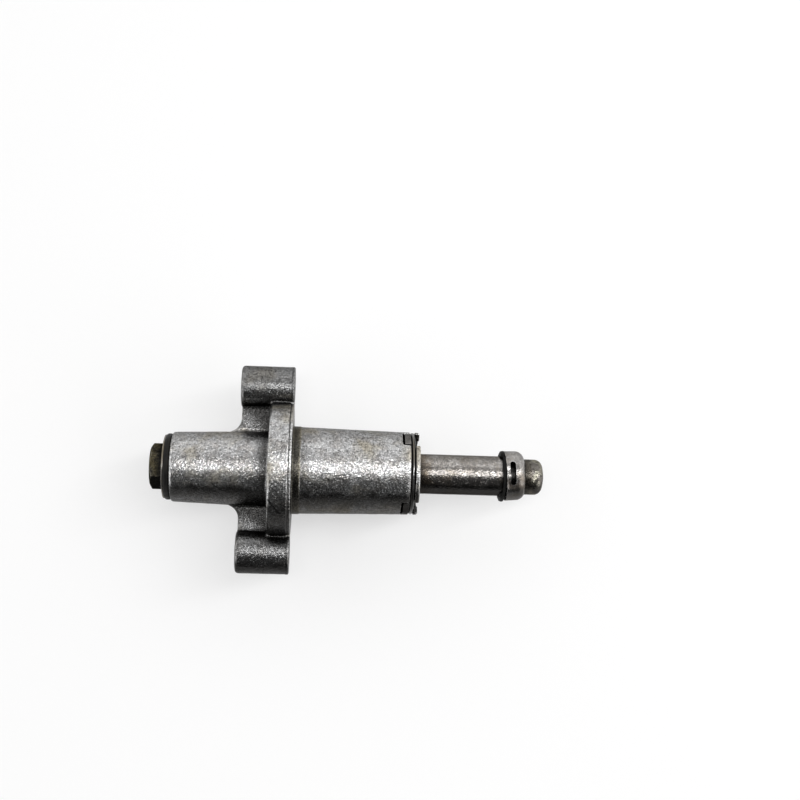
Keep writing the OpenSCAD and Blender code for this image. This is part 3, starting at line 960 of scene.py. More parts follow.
CAST_MARKS = (
    Mark((29.0, -7.3, 10.45), (29.6, -7.3, 10.45), 0.42, BLACK),
    Mark((15.3, -7.7, 10.5), (15.6, -7.7, 10.5), 0.4, BLACK),
    Mark((10.9, -3.3, 12.65), (11.1, -3.5, 12.6), 0.38, BLACK),
    Mark((8.8, -2.1, 12.9), (9.1, -2.1, 12.9), 0.3, BLACK),
    Mark((18.1, 7.3, 10.6), (18.3, 7.3, 10.6), 0.3, BLACK),
    Mark((4.0, 9.5, 9.2), (4.6, 9.3, 9.4), 1.3, grey(0.26), 0.55),
    Mark((-6.3, -10.1, 17.75), (-2.3, -14.6, 14.3), 0.34, BLACK),
    Mark((-23.3, -5.15, 9.6), (-20.3, -7.2, 8.2), 0.26, BLACK, 0.6),
)
FINISHES = {
    "cast_aluminium": MetalFinish(
        "cast_aluminium", base=grey(0.5), dark=grey(0.4, 0.03),
        stain=(0.41, 0.38, 0.32), edge=grey(0.8), rough=0.26, grain=1.2,
        bump=0.00011, speckle=0.85, mottle=0.4, stained=0.3, wear=0.6, painted_shade=0.93, hollow=0.85,
        spared=0.33, crease=8.0, glance=0.5, lift=0.18,
        bands=(Band(0.0, 2.5, OLIVE, 0.3, 0.6, reach=15.0),
               # Painted shade in the groove of the wire ring.
               Band(35.36, 36.94, SHADE_AND_OIL, 0.08, 0.96, reach=12.44),
               # These two are painted shade in the step between the flange rim and the pad.
               Band(-1.1, -0.6, SHADE_AND_OIL, 0.15, 0.85, clear=19.5, reach=20.2),
               Band(-0.95, -0.5, SHADE_AND_OIL, 0.15, 0.85, clear=20.6),
               # These two darken the lugs, the webs and the rim beside the lugs.
               Band(-18.0, -7.15, grey(0.13), 0.2, 0.78, clear=12.3),
               Band(-7.15, 0.5, grey(0.13), 0.2, 0.72, clear=20.6)), marks=CAST_MARKS),
    "oxidised_steel": MetalFinish(
        "oxidised_steel", base=(0.09, 0.085, 0.066), dark=grey(0.025, 0.05),
        stain=(0.10, 0.085, 0.05), edge=(0.42, 0.40, 0.33), rough=0.42, grain=1.0,
        bump=0.00012, speckle=0.9, mottle=0.6, stained=0.4, wear=0.9, metallic=0.95,
        painted_shade=0.97, shade_colour=BLACK, glance=0.1),
    "bright_steel": MetalFinish(
        "bright_steel", base=grey(0.38, 0.04), dark=grey(0.2, 0.05),
        stain=(0.2, 0.17, 0.12), edge=grey(0.6), rough=0.3, grain=1.8,
        bump=0.00003, speckle=0.3, mottle=0.5, stained=0.5, wear=0.5),
    "worn_steel": MetalFinish(
        "worn_steel", base=grey(0.44, 0.04), dark=grey(0.3, 0.06),
        stain=(0.28, 0.235, 0.18), edge=grey(0.6), rough=0.2, grain=1.1,
        bump=0.00009, speckle=0.5, mottle=0.6, stained=0.4, wear=0.5, painted_shade=0.97, lift=0.03,
        glance=0.4,
        # Oil and painted shade on the plunger under the cup, then a brown stain behind the lip.
        bands=(Band(63.6, 69.5, SHADE_AND_OIL, 0.4, 0.9), Band(37.6, 41.5, (0.18, 0.14, 0.10), 2.0, 0.6),
               # Darker ears on the guide plate.
               Band(33.0, 35.6, grey(0.16), 0.1, 0.7, clear=10.0))),
    "spring_steel": MetalFinish(
        "spring_steel", base=grey(0.3), dark=grey(0.2),
        stain=(0.2, 0.18, 0.15), edge=grey(0.3), rough=0.25, grain=2.0,
        bump=0.00002, speckle=0.15, mottle=0.4, stained=0.3, wear=0.1, painted_shade=0.97, crease=1.3,
        # Painted shade on both sides of the wire ring, which leaves a thin lit line along its
        # crest.
        bands=(Band(35.3, 36.0, BLACK, 0.06, 0.97), Band(36.3, 37.0, BLACK, 0.06, 0.97))),
    "nose_steel": MetalFinish(
        "nose_steel", base=(0.36, 0.345, 0.285), dark=grey(0.15, 0.08),
        stain=(0.46, 0.42, 0.29), edge=grey(0.65, 0.05), rough=0.26, grain=1.0,
        bump=0.0001, speckle=0.6, mottle=0.6, stained=0.4, wear=0.5, painted_shade=0.85, glance=0.5,
        # Painted shade from the cup and oily dirt on the rear part of the nose.
        bands=(Band(68.0, 72.4, (0.09, 0.08, 0.065), 1.2, 0.85),)),
    "cup_steel": MetalFinish(
        "cup_steel", base=grey(0.46, 0.03), dark=grey(0.3, 0.04),
        stain=(0.26, 0.22, 0.18), edge=grey(0.75), rough=0.22, grain=1.4,
        bump=0.00007, speckle=0.4, mottle=0.6, stained=0.45, wear=0.9, painted_shade=0.85, glance=0.7),
    "seal_rubber": RubberFinish("seal_rubber", grey(0.004), (0.012, 0.011, 0.009), 0.5),
    "bush_rubber": RubberFinish("bush_rubber", grey(0.003), (0.008, 0.008, 0.007), 0.6),
}


class Bench:
    """Turns meshes in millimetres into dressed pieces that stand for CAD nodes."""

    def __init__(self) -> None:
        """Builds every finish once and reads each node's slot."""
        effects = Effects()
        self.materials = {slot: finish.build(effects) for slot, finish in FINISHES.items()}
        self.slots = {s["node"]: s["material_slot"] for s in frame["record"]["subparts"]}

    def lay(self, shape: BMesh, node: str, body: Body,
            smooth_deg: float = 35.0) -> bpy.types.Object:
        """Turns a mesh into a piece that replaces a node and rides on its body.

        Args:
            shape: the mesh in millimetres, which is freed.
            node: the CAD node that it stands for.
            body: the body that it rides on.
            smooth_deg: edges flatter than this are shaded smooth.

        Returns:
            The piece.
        """
        limit = math.radians(smooth_deg)
        bmesh.ops.scale(shape, verts=shape.verts, vec=(MM, MM, MM))
        for face in shape.faces:
            face.smooth = True
        for edge in shape.edges:
            edge.smooth = edge.calc_face_angle(0.0) < limit
        piece = Mesh.temporary(shape, node + "_piece")
        slot = self.slots[node]
        piece.data.materials.append(self.materials[slot])
        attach(piece, body.value)
        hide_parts(node)
        LOG.info("%s stands for %s with %d faces", piece.name, node, len(piece.data.polygons))
        return piece

    def dress(self, node: str) -> None:
        """Gives a CAD node that stays the finish of its slot.

        Args:
            node: the node's name.
        """
        data = frame["nodes"][node].data
        data.materials.clear()
        data.materials.append(self.materials[self.slots[node]])
        LOG.info("%s keeps its CAD shape", node)


@dataclass
class Housing:
    """The cast body with its flange, lugs, webs, pilot and notched front end.

    Sizes are in millimetres and repeat the CAD model's, apart from pad_h, notch_w and
    notch_angles, which were matched to the photograph. The fields from overrun on
    say how the mesh is cut, blended and roughened.
    """

    flange_d: float = 40.8
    flange_t: float = 6.9
    pad_d: float = 40.0
    pad_h: float = 1.1
    pilot_d: float = 26.6
    pilot_len: float = 2.4
    bolt_pitch: float = 50.0
    bolt_hole_d: float = 6.6
    bolt_mouth_d: float = 8.0
    bolt_mouth_h: float = 0.4
    lug_d: float = 13.0
    lug_len: float = 16.2
    lug_edge_r: float = 1.1
    web_t: float = 4.8
    web_lug_r: float = 2.4
    web_body_r: float = 4.2
    web_draft: float = 0.14
    rear_len: float = 36.1
    rear_d: float = 21.2
    waist_d: float = 23.0
    case_len: float = 38.2
    case_d: float = 26.4
    case_front_d: float = 25.0
    cast_edge_r: float = 0.8
    rear_wall_t: float = 8.0
    plug_hole_d: float = 8.1
    plug_grip: float = 4.4
    tail_hole_d: float = 7.2
    chamber_d: float = 17.4
    front_chamber_d: float = 18.8
    groove_w: float = 1.5
    groove_depth: float = 1.3
    lip_w: float = 1.3
    plate_t: float = 1.8
    plate_hole_d: float = 20.0
    notch_w: float = 6.9
    notch_relief: float = 0.6
    notch_angles: tuple[float, ...] = (35.0, 155.0, 275.0)
    overrun: float = 0.5
    voxel: float = 0.24
    relief: float = 0.05
    corner_rings: int = 3
    most_faces: int = 190000
    turn_steps: int = 288
    lug_steps: int = 96
    bore_steps: int = 160
    hole_steps: int = 64
    relax: float = 0.5
    ease_times: int = 3
    blend_times: int = 36
    blend_behind: float = -0.3
    blend_outside: float = 9.5
    blend_depth: float = 0.1
    cone_reach: float = 0.6
    skin_waves: tuple[Point, ...] = ((0.35, 0.7), (1.1, 0.5))
    skin_margin: float = 0.4
    skin_back: float = 0.1
    skin_front: float = 4.8
    smooth_deg: float = 50.0

    def outline(self) -> list[Point]:
        """Outline of the outside, as radius against X.

        Returns:
            The points from the rear to the front.
        """
        e, lip = self.cast_edge_r, self.lip_w / 3
        rear, back, front = -self.rear_len, -self.flange_t, self.case_len
        groove = front - self.lip_w - self.groove_w
        front_r = self.case_front_d / 2
        floor_r = front_r - self.groove_depth
        pilot = (self.pilot_d - self.case_d) / 2
        points = [(rear, 0.0)]
        points += arc((rear + e, self.rear_d / 2 - e), e, 180, 90)
        points += arc((back - e, self.waist_d / 2 + e), e, 270, 360)
        points += arc((back + e, self.flange_d / 2 - e), e, 180, 90)
        points += [(-self.pad_h, self.flange_d / 2), (-self.pad_h, self.pad_d / 2)]
        points += [(0.0, self.pad_d / 2), (0.0, self.pilot_d / 2)]
        points += arc((self.pilot_len - pilot, self.pilot_d / 2 - pilot), pilot, 90, 0, 3)
        points += [(groove, front_r), (groove, floor_r)]
        points += [(groove + self.groove_w, floor_r), (groove + self.groove_w, front_r)]
        points += arc((front - lip, front_r - lip), lip, 90, 0, 3)
        return points + [(front, 0.0)]

    def lug_outline(self) -> list[Point]:
        """Outline of a lug, as radius against X, from its own axis.

        Returns:
            The points from its rear to the mounting face.
        """
        r, e = self.lug_d / 2, self.lug_edge_r
        points = [(-self.lug_len, 0.0)]
        points += arc((e - self.lug_len, r - e), e, 180, 90)
        points += arc((-e / 3, r - e / 3), e / 3, 90, 0, 3)
        return points + [(0.0, 0.0)]

    def web_section(self) -> list[Point]:
        """Section of a web across X, as Z against Y, with its fillets.

        Returns:
            The points around the section.
        """
        body_r, lug_r = self.waist_d / 2, self.lug_d / 2
        top, f, g = self.web_t / 2, self.cast_edge_r, self.web_lug_r
        body_y = math.sqrt((body_r + f) ** 2 - (top + f) ** 2)
        lug_in = math.sqrt((lug_r + g) ** 2 - (top + g) ** 2)
        lug_y = self.bolt_pitch / 2 - lug_in
        from_body = 180 + math.degrees(math.atan2(top + f, body_y))
        to_lug = 360 - math.degrees(math.atan2(top + g, lug_in))
        upper = [(0.0, top)]
        upper += arc((body_y, top + f), f, from_body, 270, 4)
        upper += arc((lug_y, top + g), g, 270, to_lug)
        upper += [(self.bolt_pitch / 2, upper[-1][1])]
        return upper + [(y, -z) for y, z in reversed(upper)]

    def web_plan(self) -> list[Point]:
        """Plan of a web, as Y against X, with its hollow curve down to the body.

        Returns:
            The points around the plan.
        """
        f = self.web_body_r
        body_r = self.waist_d / 2 - (self.waist_d - self.rear_d) / 4
        back = self.cast_edge_r / 2 - self.lug_len
        far = self.bolt_pitch / 2
        curve = arc((back - f, body_r + f), f, 270, 360, 12)
        return [(back - f, 0.0)] + curve + [(back, far), (-self.pad_h, far), (-self.pad_h, 0.0)]

    def lug_and_web(self) -> list[BMesh]:
        """A lug and its web on the +Y side.

        Returns:
            The two meshes.
        """
        lug = Mesh.turned(self.lug_outline(), self.lug_steps)
        bmesh.ops.translate(lug, verts=lug.verts, vec=(0, self.bolt_pitch / 2, 0))
        section = [(-self.rear_len, y, z) for y, z in self.web_section()]
        bar = Mesh.prism(section, (self.rear_len, 0, 0))
        reach = self.lug_d
        plan = Mesh.prism([(x, y, -reach) for x, y in self.web_plan()], (0, 0, 2 * reach))
        web = Mesh.worked(bar, [plan], Cut.KEEP_COMMON)
        for vert in web.verts:
            vert.co.z *= 1 + self.web_draft * (vert.co.x + self.pad_h) / self.web_t
        return [lug, web]

    @staticmethod
    def opposite(shape: BMesh) -> BMesh:
        """A copy of a mesh on the other side of the XZ plane.

        Args:
            shape: the mesh, which stays as it is.

        Returns:
            The mirrored copy.
        """
        copy = shape.copy()
        bmesh.ops.scale(copy, verts=copy.verts, vec=(1, -1, 1))
        bmesh.ops.reverse_faces(copy, faces=copy.faces)
        return copy

    def hollows(self) -> list[BMesh]:
        """The bores, bolt holes and notches that are cut from the casting.

        Returns:
            The cutters.
        """
        rear, front, over = -self.rear_len, self.case_len, self.overrun
        chamber = rear + self.rear_wall_t
        plate = front - self.lip_w - self.groove_w - self.plate_t
        seat = rear + self.plug_grip + over
        steps = [(rear - over, 0.0), (rear - over, self.plug_hole_d / 2),
                 (seat, self.plug_hole_d / 2), (seat, self.tail_hole_d / 2),
                 (chamber, self.tail_hole_d / 2), (chamber, self.chamber_d / 2),
                 (0.0, self.chamber_d / 2), (0.0, self.front_chamber_d / 2),
                 (plate, self.front_chamber_d / 2), (plate, self.plate_hole_d / 2),
                 (front + over, self.plate_hole_d / 2), (front + over, 0.0)]
        bore = Mesh.turned(steps, self.bore_steps)
        hole = Mesh.turned([(-self.lug_len - over, 0.0),
                            (-self.lug_len - over, self.bolt_hole_d / 2),
                            (-self.bolt_mouth_h, self.bolt_hole_d / 2),
                            (0.0, self.bolt_mouth_d / 2),
                            (over, self.bolt_mouth_d / 2), (over, 0.0)], self.hole_steps)
        bmesh.ops.translate(hole, verts=hole.verts, vec=(0, self.bolt_pitch / 2, 0))
        inner, half = self.plate_hole_d / 2 - over, self.notch_w / 2
        notches = [Mesh.block((plate - self.notch_relief, inner, -half),
                              (front + over, self.case_d, half), angle)
                   for angle in self.notch_angles]
        return [bore, hole, self.opposite(hole), *notches]

    def cast(self) -> BMesh:
        """The casting as one watertight mesh with soft inner corners.

        Returns:
            The mesh.
        """
        side = self.lug_and_web()
        other = [self.opposite(shape) for shape in side]
        body = Mesh.turned(self.outline(), self.turn_steps)
        whole = Mesh.worked(body, side + other, Cut.JOIN)
        whole = Mesh.worked(whole, self.hollows(), Cut.REMOVE)
        work = Mesh.temporary(whole)
        skin = work.modifiers.new("skin", "REMESH")
        skin.mode = "VOXEL"
        skin.voxel_size = self.voxel
        ease_off = work.modifiers.new("ease", "SMOOTH")
        ease_off.factor = self.relax
        ease_off.iterations = self.ease_times
        return Mesh.baked(work)

    def blended(self, shape: BMesh) -> BMesh:
        """Relaxes the sharp inner corners of the casting into fillets.

        Args:
            shape: the remeshed casting, which is freed.

        Returns:
            The blended mesh.
        """
        corners = []
        for vert in shape.verts:
            if vert.co.x < self.blend_behind:
                near = [e.other_vert(vert).co for e in vert.link_edges]
                middle = sum(near, Vector()) / len(near)
                radius = math.hypot(vert.co.y, vert.co.z)
                depth = (middle - vert.co).dot(vert.normal)
                if depth > self.blend_depth * self.voxel and radius > self.blend_outside:
                    corners.append(vert.index)
        shape.verts.ensure_lookup_table()
        chosen = set(corners)
        for _ in range(self.corner_rings):
            chosen |= {e.other_vert(shape.verts[i]).index
                       for i in chosen for e in shape.verts[i].link_edges}
        work = Mesh.temporary(shape)
        group = work.vertex_groups.new(name="corner")
        group.add(list(chosen), 1.0, "REPLACE")
        soft = work.modifiers.new("soft", "SMOOTH")
        soft.factor = self.relax
        soft.iterations = self.blend_times
        soft.vertex_group = "corner"
        return Mesh.baked(work)

    def true_radius(self, x: float) -> float:
        """Radius of the body or the case at a place on X.

        Args:
            x: the place.

        Returns:
            The radius, or 0 between and beyond them.
        """
        back = -self.flange_t - self.cast_edge_r
        groove = self.case_len - self.lip_w - self.groove_w
        rear = self.cast_edge_r - self.rear_len
        for start, end, first, last in ((rear, back, self.rear_d, self.waist_d),
                                        (self.pilot_len, groove, self.case_d, self.case_front_d)):
            if start + self.voxel < x < end - self.voxel:
                return (first + (last - first) * (x - start) / (end - start)) / 2
        return 0.0

    def trued(self, shape: BMesh) -> None:
        """Puts the outside of the body and the case back on its cone, free of voxel steps.

        Args:
            shape: the remeshed casting.
        """
        for vert in shape.verts:
            radius = math.hypot(vert.co.y, vert.co.z)
            wanted = self.true_radius(vert.co.x)
            if wanted and abs(radius - wanted) < self.voxel * self.cone_reach:
                vert.co.y *= wanted / radius
                vert.co.z *= wanted / radius

    def roughened(self, shape: BMesh) -> None:
        """Gives the cast faces their uneven skin. The machined faces stay true.

        Args:
            shape: the casting.
        """
        for vert in shape.verts:
            if self.is_cast(vert.co):
                wave = ripple(vert.co, self.skin_waves)
                vert.co -= vert.normal * self.relief * (1 + wave)

    def is_cast(self, place: Vector) -> bool:
        """Tells whether a place is on the rough outside of the casting.

        Args:
            place: the place.

        Returns:
            True where the skin is as cast.
        """
        radius = math.hypot(place.y, place.z)
        if place.x > self.pilot_len:
            front = self.case_len - self.skin_front
            return radius > self.case_front_d / 2 - self.skin_margin and place.x < front
        back = -self.pad_h - self.skin_back
        return place.x < back and radius > self.rear_d / 2 - self.skin_margin

    def build(self, bench: Bench) -> None:
        """Builds and dresses the housing.

        Args:
            bench: makes the piece.
        """
        shape = self.blended(self.cast())
        self.trued(shape)
        self.roughened(shape)
        work = Mesh.temporary(shape)
        thin = work.modifiers.new("thin", "DECIMATE")
        thin.ratio = min(1.0, self.most_faces / (2 * len(work.data.polygons)))
        shape = Mesh.baked(work)
        bench.lay(shape, "housing", Body.HOUSING, self.smooth_deg)


@dataclass
class RearPlug:
    """Hexagon plug, its washer and its seal at the rear of the body."""

    rear_x: float = -36.1
    hex_af: float = 12.0
    hex_h: float = 4.0
    shank_d: float = 8.0
    grip: float = 4.4
    washer_d: float = 19.2
    washer_t: float = 0.5
    seal_d: float = 20.0
    seal_t: float = 1.8
    face_share: float = 0.96
    bevel_deg: float = 30.0
    gap: float = 0.05
    overrun: float = 1.0
    overlap: float = 0.5
    corner_bevel: float = 0.25
    corner_deg: float = 25.0
    washer_edge_r: float = 0.15
    seal_edge_r: float = 0.66

    def plug(self) -> BMesh:
        """The hexagon with its corners turned off, on its shank.

        Returns:
            The plug.
        """
        start = self.rear_x - self.seal_t - self.washer_t - self.hex_h
        end = start + self.hex_h
        corner_r = self.hex_af / 2 / math.cos(math.radians(30))
        corners = [(start, corner_r * math.cos(math.radians(60 * i)),
                    corner_r * math.sin(math.radians(60 * i))) for i in range(6)]
        bar = Mesh.prism(corners, (self.hex_h, 0, 0))
        face_r = self.hex_af / 2 * self.face_share
        far_r = face_r + self.hex_h / math.tan(math.radians(self.bevel_deg))
        beyond = end + self.overrun
        cone = Mesh.turned([(start, 0.0), (start, face_r), (end, far_r), (beyond, far_r),
                            (beyond, 0.0)], 96)
        head = Mesh.worked(bar, [cone], Cut.KEEP_COMMON)
        Mesh.bevelled(head, self.corner_bevel, self.corner_deg, 3)
        shank_start, shank_end = end - self.overlap, self.rear_x + self.grip
        shank = Mesh.turned([(shank_start, 0.0), (shank_start, self.shank_d / 2),
                             (shank_end, self.shank_d / 2), (shank_end, 0.0)], 64)
        return Mesh.worked(head, [shank], Cut.JOIN)

    def ring(self, start: float, thick: float, diameter: float, edge: float) -> BMesh:
        """A flat ring around the shank with rounded outer edges.

        Args:
            start: its rear face on X.
            thick: its thickness.
            diameter: its outside diameter.
            edge: radius of its edges.

        Returns:
            The ring.
        """
        bore, r = self.shank_d / 2 + self.gap, diameter / 2
        points = [(start, bore)]
        points += arc((start + edge, r - edge), edge, 180, 90, 5)
        points += arc((start + thick - edge, r - edge), edge, 90, 0, 5)
        return Mesh.turned(points + [(start + thick, bore)], 128, closed=True)

    def build(self, bench: Bench) -> None:
        """Builds and dresses the three pieces.

        Args:
            bench: makes the pieces.
        """
        seal_x = self.rear_x - self.seal_t
        bench.lay(self.plug(), "rear_plug", Body.HOUSING)
        washer = self.ring(seal_x - self.washer_t, self.washer_t, self.washer_d,
                           self.washer_edge_r)
        bench.lay(washer, "plug_washer", Body.HOUSING)
        seal = self.ring(seal_x, self.seal_t, self.seal_d, self.seal_edge_r)
        bench.lay(seal, "plug_seal", Body.HOUSING)


@dataclass
class Retention:
    """Guide plate with its ears and the wire ring in the groove ahead of it.

    Sizes are in millimetres and repeat the CAD model's, apart from ear_angles, which follow the
    housing's notches.
    """

    plate_x: float = 33.6
    plate_t: float = 1.8
    plate_d: float = 19.6
    ear_w: float = 6.0
    ear_d: float = 25.0
    hole_d: float = 12.4
    hole_af: float = 12.2
    ear_angles: tuple[float, ...] = (35.0, 155.0, 275.0)
    ring_x: float = 36.15
    wire_d: float = 1.2
    floor_d: float = 22.4
    gap_deg: float = 34.0
    gap_angle: float = 210.0
    overrun: float = 1.0
    plate_bevel: float = 0.12
    wire_points: int = 24
    ring_steps: int = 150

    def plate(self) -> BMesh:
        """The plate with three ears and a flatted hole.

        Returns:
            The plate.
        """
        near, far = self.plate_x, self.plate_x + self.plate_t
        outer_r, inner_r = self.ear_d / 2, self.plate_d / 2
        outer = math.degrees(math.asin(self.ear_w / 2 / outer_r))
        inner = math.degrees(math.asin(self.ear_w / 2 / inner_r))
        outline = []
        next_ears = self.ear_angles[1:] + (self.ear_angles[0] + 360,)
        for angle, after in zip(self.ear_angles, next_ears):
            outline += arc((0.0, 0.0), outer_r, angle - outer, angle + outer, 12)
            outline += arc((0.0, 0.0), inner_r, angle + inner, after - inner, 24)
        whole = Mesh.prism([(near, y, z) for y, z in outline], (self.plate_t, 0, 0))
        over = self.overrun
        hole = Mesh.turned([(near - over, 0.0), (near - over, self.hole_d / 2),
                            (far + over, self.hole_d / 2), (far + over, 0.0)], 128)
        flats = Mesh.block((near - 2 * over, -self.hole_af / 2, -self.hole_d),
                           (far + 2 * over, self.hole_af / 2, self.hole_d))
        hole = Mesh.worked(hole, [flats], Cut.KEEP_COMMON)
        whole = Mesh.worked(whole, [hole], Cut.REMOVE)
        return Mesh.bevelled(whole, self.plate_bevel)

    def ring(self) -> BMesh:
        """The open wire ring.

        Returns:
            The ring.
        """
        r = self.wire_d / 2
        last = 360 - 360 / self.wire_points
        wire = arc((self.ring_x, self.floor_d / 2 + r), r, 0, last, self.wire_points - 1)
        turn = math.radians(360 - self.gap_deg)
        start = math.radians(self.gap_angle + self.gap_deg / 2)
        return Mesh.turned(wire, self.ring_steps, closed=True, angle=turn, start=start)

    def build(self, bench: Bench) -> None:
        """Builds and dresses both pieces.

        Args:
            bench: makes the pieces.
        """
        bench.lay(self.plate(), "guide_plate", Body.HOUSING)
        bench.lay(self.ring(), "retaining_ring", Body.HOUSING)


@dataclass
class EndCup:
    """Pressed cup with its window, its bush and the worn nose.

    Sizes are in millimetres and repeat the CAD model's. The fields from flare on are wear, dents
    and slack, and say how finely the meshes are made.
    """

    cup_x: float = 64.508
    cup_d: float = 15.0
    cup_wall: float = 0.9
    cup_len: float = 6.2
    shoulder_r: float = 2.6
    lean_deg: float = 3.0
    window_len: float = 7.2
    window_w: float = 1.7
    window_share: float = 0.34
    hole_d: float = 11.4
    bush_x: float = 63.05
    bush_len: float = 1.0
    bush_d: float = 15.6
    bush_lip_d: float = 13.8
    tube_d: float = 12.2
    nose_d: float = 10.8
    nose_len: float = 6.0
    nose_edge_r: float = 2.4
    nose_dome_h: float = 0.5
    tube_bore_d: float = 8.7
    tube_af: float = 12.0
    spigot_x: float = 58.0
    flange_x: float = 68.289
    gap: float = 0.05
    loose_gap: float = 0.3
    flare: float = 0.012
    band_w: float = 0.6
    window_turn: float = 3.0
    off_centre: float = 0.3
    flare_len: float = 3.0
    cup_edge_r: float = 0.22
    tear: float = 0.16
    tear_reach: float = 1.4
    tear_waves: tuple[Point, ...] = ((0.9, 1.0), (2.2, 0.6))
    lobe_start: float = 0.45
    lobe_blur: float = 0.07
    lobe_waves: tuple[Point, ...] = ((0.7, 0.04),)
    bush_bevel: float = 0.06
    bush_rear_fall: float = 0.15
    bush_front_fall: float = 0.25
    tip_fall: float = 0.1
    dome_share: float = 0.7
    tip_share: float = 0.35
    wall_rows: int = 12
    shaft_rows: int = 14
    cup_steps: int = 176
    turn_steps: int = 144
    smooth_deg: float = 38.0
    cup_dents: tuple[Dent, ...] = (
        Dent((0.7, 0.9, 0.0), (1.6, 2.0, 1.8), (0.0, 0.0, -0.3)),
        Dent((1.0, -3.6, -0.9), (1.6, 1.8, 1.6), (0.0, 0.1, -0.3)),
        Dent((3.4, 4.6, -1.4), (1.2, 1.6, 1.4), (0.0, -0.1, -0.15)))
    nose_dent: Dent = Dent((73.3, 0.3, 0.0), (1.9, 2.4, 1.6), (0.0, 0.0, -0.3))

    def cup_outline(self) -> list[Point]:
        """Outline of the cup's wall, with its points close enough to dent.

        Returns:
            The points around the wall's section.
        """
        r, s, w = self.cup_d / 2, self.shoulder_r, self.cup_wall
        front = self.cup_x + self.cup_len
        inset = self.hole_d / 2 - r + s
        outer = math.degrees(math.acos(inset / s))
        inner = math.degrees(math.acos(inset / (s - w)))
        rows, edge = self.wall_rows, self.cup_edge_r
        straight = [self.cup_x + (self.cup_len - s) * i / rows for i in range(rows + 1)]
        points = arc((self.cup_x + edge, r - edge), edge, 180, 90, 4)
        points += [(x, r) for x in straight[1:]]
        points += arc((front - s, r - s), s, 90, 90 - outer, 10)[1:]
        points += arc((front - s, r - s), s - w, 90 - inner, 90, 8)
        points += [(x, r - w) for x in reversed(straight[:-1])]
        return points

    def window(self) -> BMesh:
        """The long round-ended cutter of the window, from the axis towards +Z.

        Returns:
            The cutter.
        """
        half = (self.window_len - self.window_w) / 2
        middle = self.cup_x + self.cup_len * self.window_share
        far_end = arc((middle, half), self.window_w / 2, 0, 180, 12)
        near_end = arc((middle, -half), self.window_w / 2, 180, 360, 12)
        return Mesh.prism([(x, y, 0.0) for x, y in far_end + near_end], (0, 0, self.cup_d))

    def cup(self) -> BMesh:
        """The cup with its window, dents and torn rear edge, leaning on the tube.

        Returns:
            The cup.
        """
        shape = Mesh.turned(self.cup_outline(), self.cup_steps, closed=True)
        for dent in self.cup_dents:
            Mesh.dented(shape, dent, (self.cup_x, 0.0, self.cup_d / 2))
        for vert in shape.verts:
            share = ease(1 - (vert.co.x - self.cup_x) / self.tear_reach)
            wave = ripple(vert.co, self.tear_waves)
            vert.co.x += share * self.tear * (1 + wave)
            flare = 1 + self.flare * (self.cup_x + self.flare_len - vert.co.x) / self.flare_len
            vert.co.y *= flare
            vert.co.z *= flare
        shape = Mesh.worked(shape, [self.window()], Cut.REMOVE)
        middle = (self.cup_x + self.cup_len / 2, 0, 0)
        bmesh.ops.rotate(shape, verts=shape.verts, cent=middle,
                         matrix=Matrix.Rotation(math.radians(-self.window_turn), 3, "X"))
        bmesh.ops.rotate(shape, verts=shape.verts, cent=middle,
                         matrix=Matrix.Rotation(math.radians(self.lean_deg), 3, "Z"))
        bmesh.ops.translate(shape, verts=shape.verts, vec=(0.0, self.off_centre, 0.0))
        return shape

    def facing(self, place: Vector) -> float:
        """Tells how far a place around the bush lies between its two lobes.

        Args:
            place: the place.

        Returns:
            A share from 0 on a lobe to 1 between them.
        """
        radius = max(math.hypot(place.y, place.z), TINY)
        waver = ripple(Vector((0.0, place.y, place.z)), self.lobe_waves)
        return ease((abs(place.z) / radius - self.lobe_start + waver) / self.lobe_blur)

    def bush(self) -> BMesh:
        """The rubber bush with its cone and spigot, and two lobes that swell out at the sides.

        Returns:
            The bush.
        """
        bore, spigot = self.tube_d / 2 + self.gap, self.cup_d / 2 - self.cup_wall - self.loose_gap
        lip, front = self.bush_len / 3, self.cup_x - self.gap
        points = [(self.bush_x, bore), (self.bush_x, self.bush_lip_d / 2),
                  (self.bush_x + lip, self.bush_d / 2 - self.bush_rear_fall),
                  (front - lip, self.bush_d / 2), (front, self.bush_d / 2 - self.bush_front_fall),
                  (front, spigot), (self.cup_x + lip, spigot), (self.cup_x + lip, bore)]
        shape = Mesh.turned(points, self.turn_steps, closed=True)
        Mesh.bevelled(shape, self.bush_bevel, limit_deg=30.0)
        flat_r, flat_x = self.cup_d / 2 - self.cup_wall / 2, front - self.band_w
        for vert in shape.verts:
            share = self.facing(vert.co)
            radius = math.hypot(vert.co.y, vert.co.z)
            shrink = 1 + share * (min(radius, flat_r) / radius - 1)
            vert.co.x += share * max(flat_x - vert.co.x, 0.0)
            vert.co.y *= shrink
            vert.co.z *= shrink
        return shape

    def nose(self) -> BMesh:
        """The worn nose with its spigot, flange and dimple.

        Returns:
            The nose.
        """
        r, e = self.nose_d / 2, self.nose_edge_r
        tip = self.cup_x + self.cup_len + self.nose_len
        edge = tip - self.nose_dome_h
        bore_r, front = self.tube_bore_d / 2 - self.gap, self.flange_x + self.cup_wall
        rows, crown = self.shaft_rows, r - e
        shaft = [(front + (edge - e - front) * i / rows, r) for i in range(rows)]
        points = [(self.spigot_x, 0.0), (self.spigot_x, bore_r), (self.flange_x, bore_r),
                  (self.flange_x, self.tube_af / 2), (front, self.tube_af / 2)]
        points += shaft + arc((edge - e, r - e), e, 90, 0, 10)
        points += [(tip - self.nose_dome_h / 2, crown * self.dome_share),
                   (tip - self.tip_fall, crown * self.tip_share), (tip, 0.0)]
        shape = Mesh.turned(points, self.turn_steps)
        Mesh.dented(shape, self.nose_dent, (0.0, 0.0, r))
        return shape

    def build(self, bench: Bench) -> None:
        """Builds and dresses the three pieces.

        Args:
            bench: makes the pieces.
        """
        bench.lay(self.cup(), "end_cup", Body.PLUNGER, self.smooth_deg)
        bench.lay(self.bush(), "cup_bush", Body.PLUNGER)
        bench.lay(self.nose(), "nose", Body.PLUNGER)


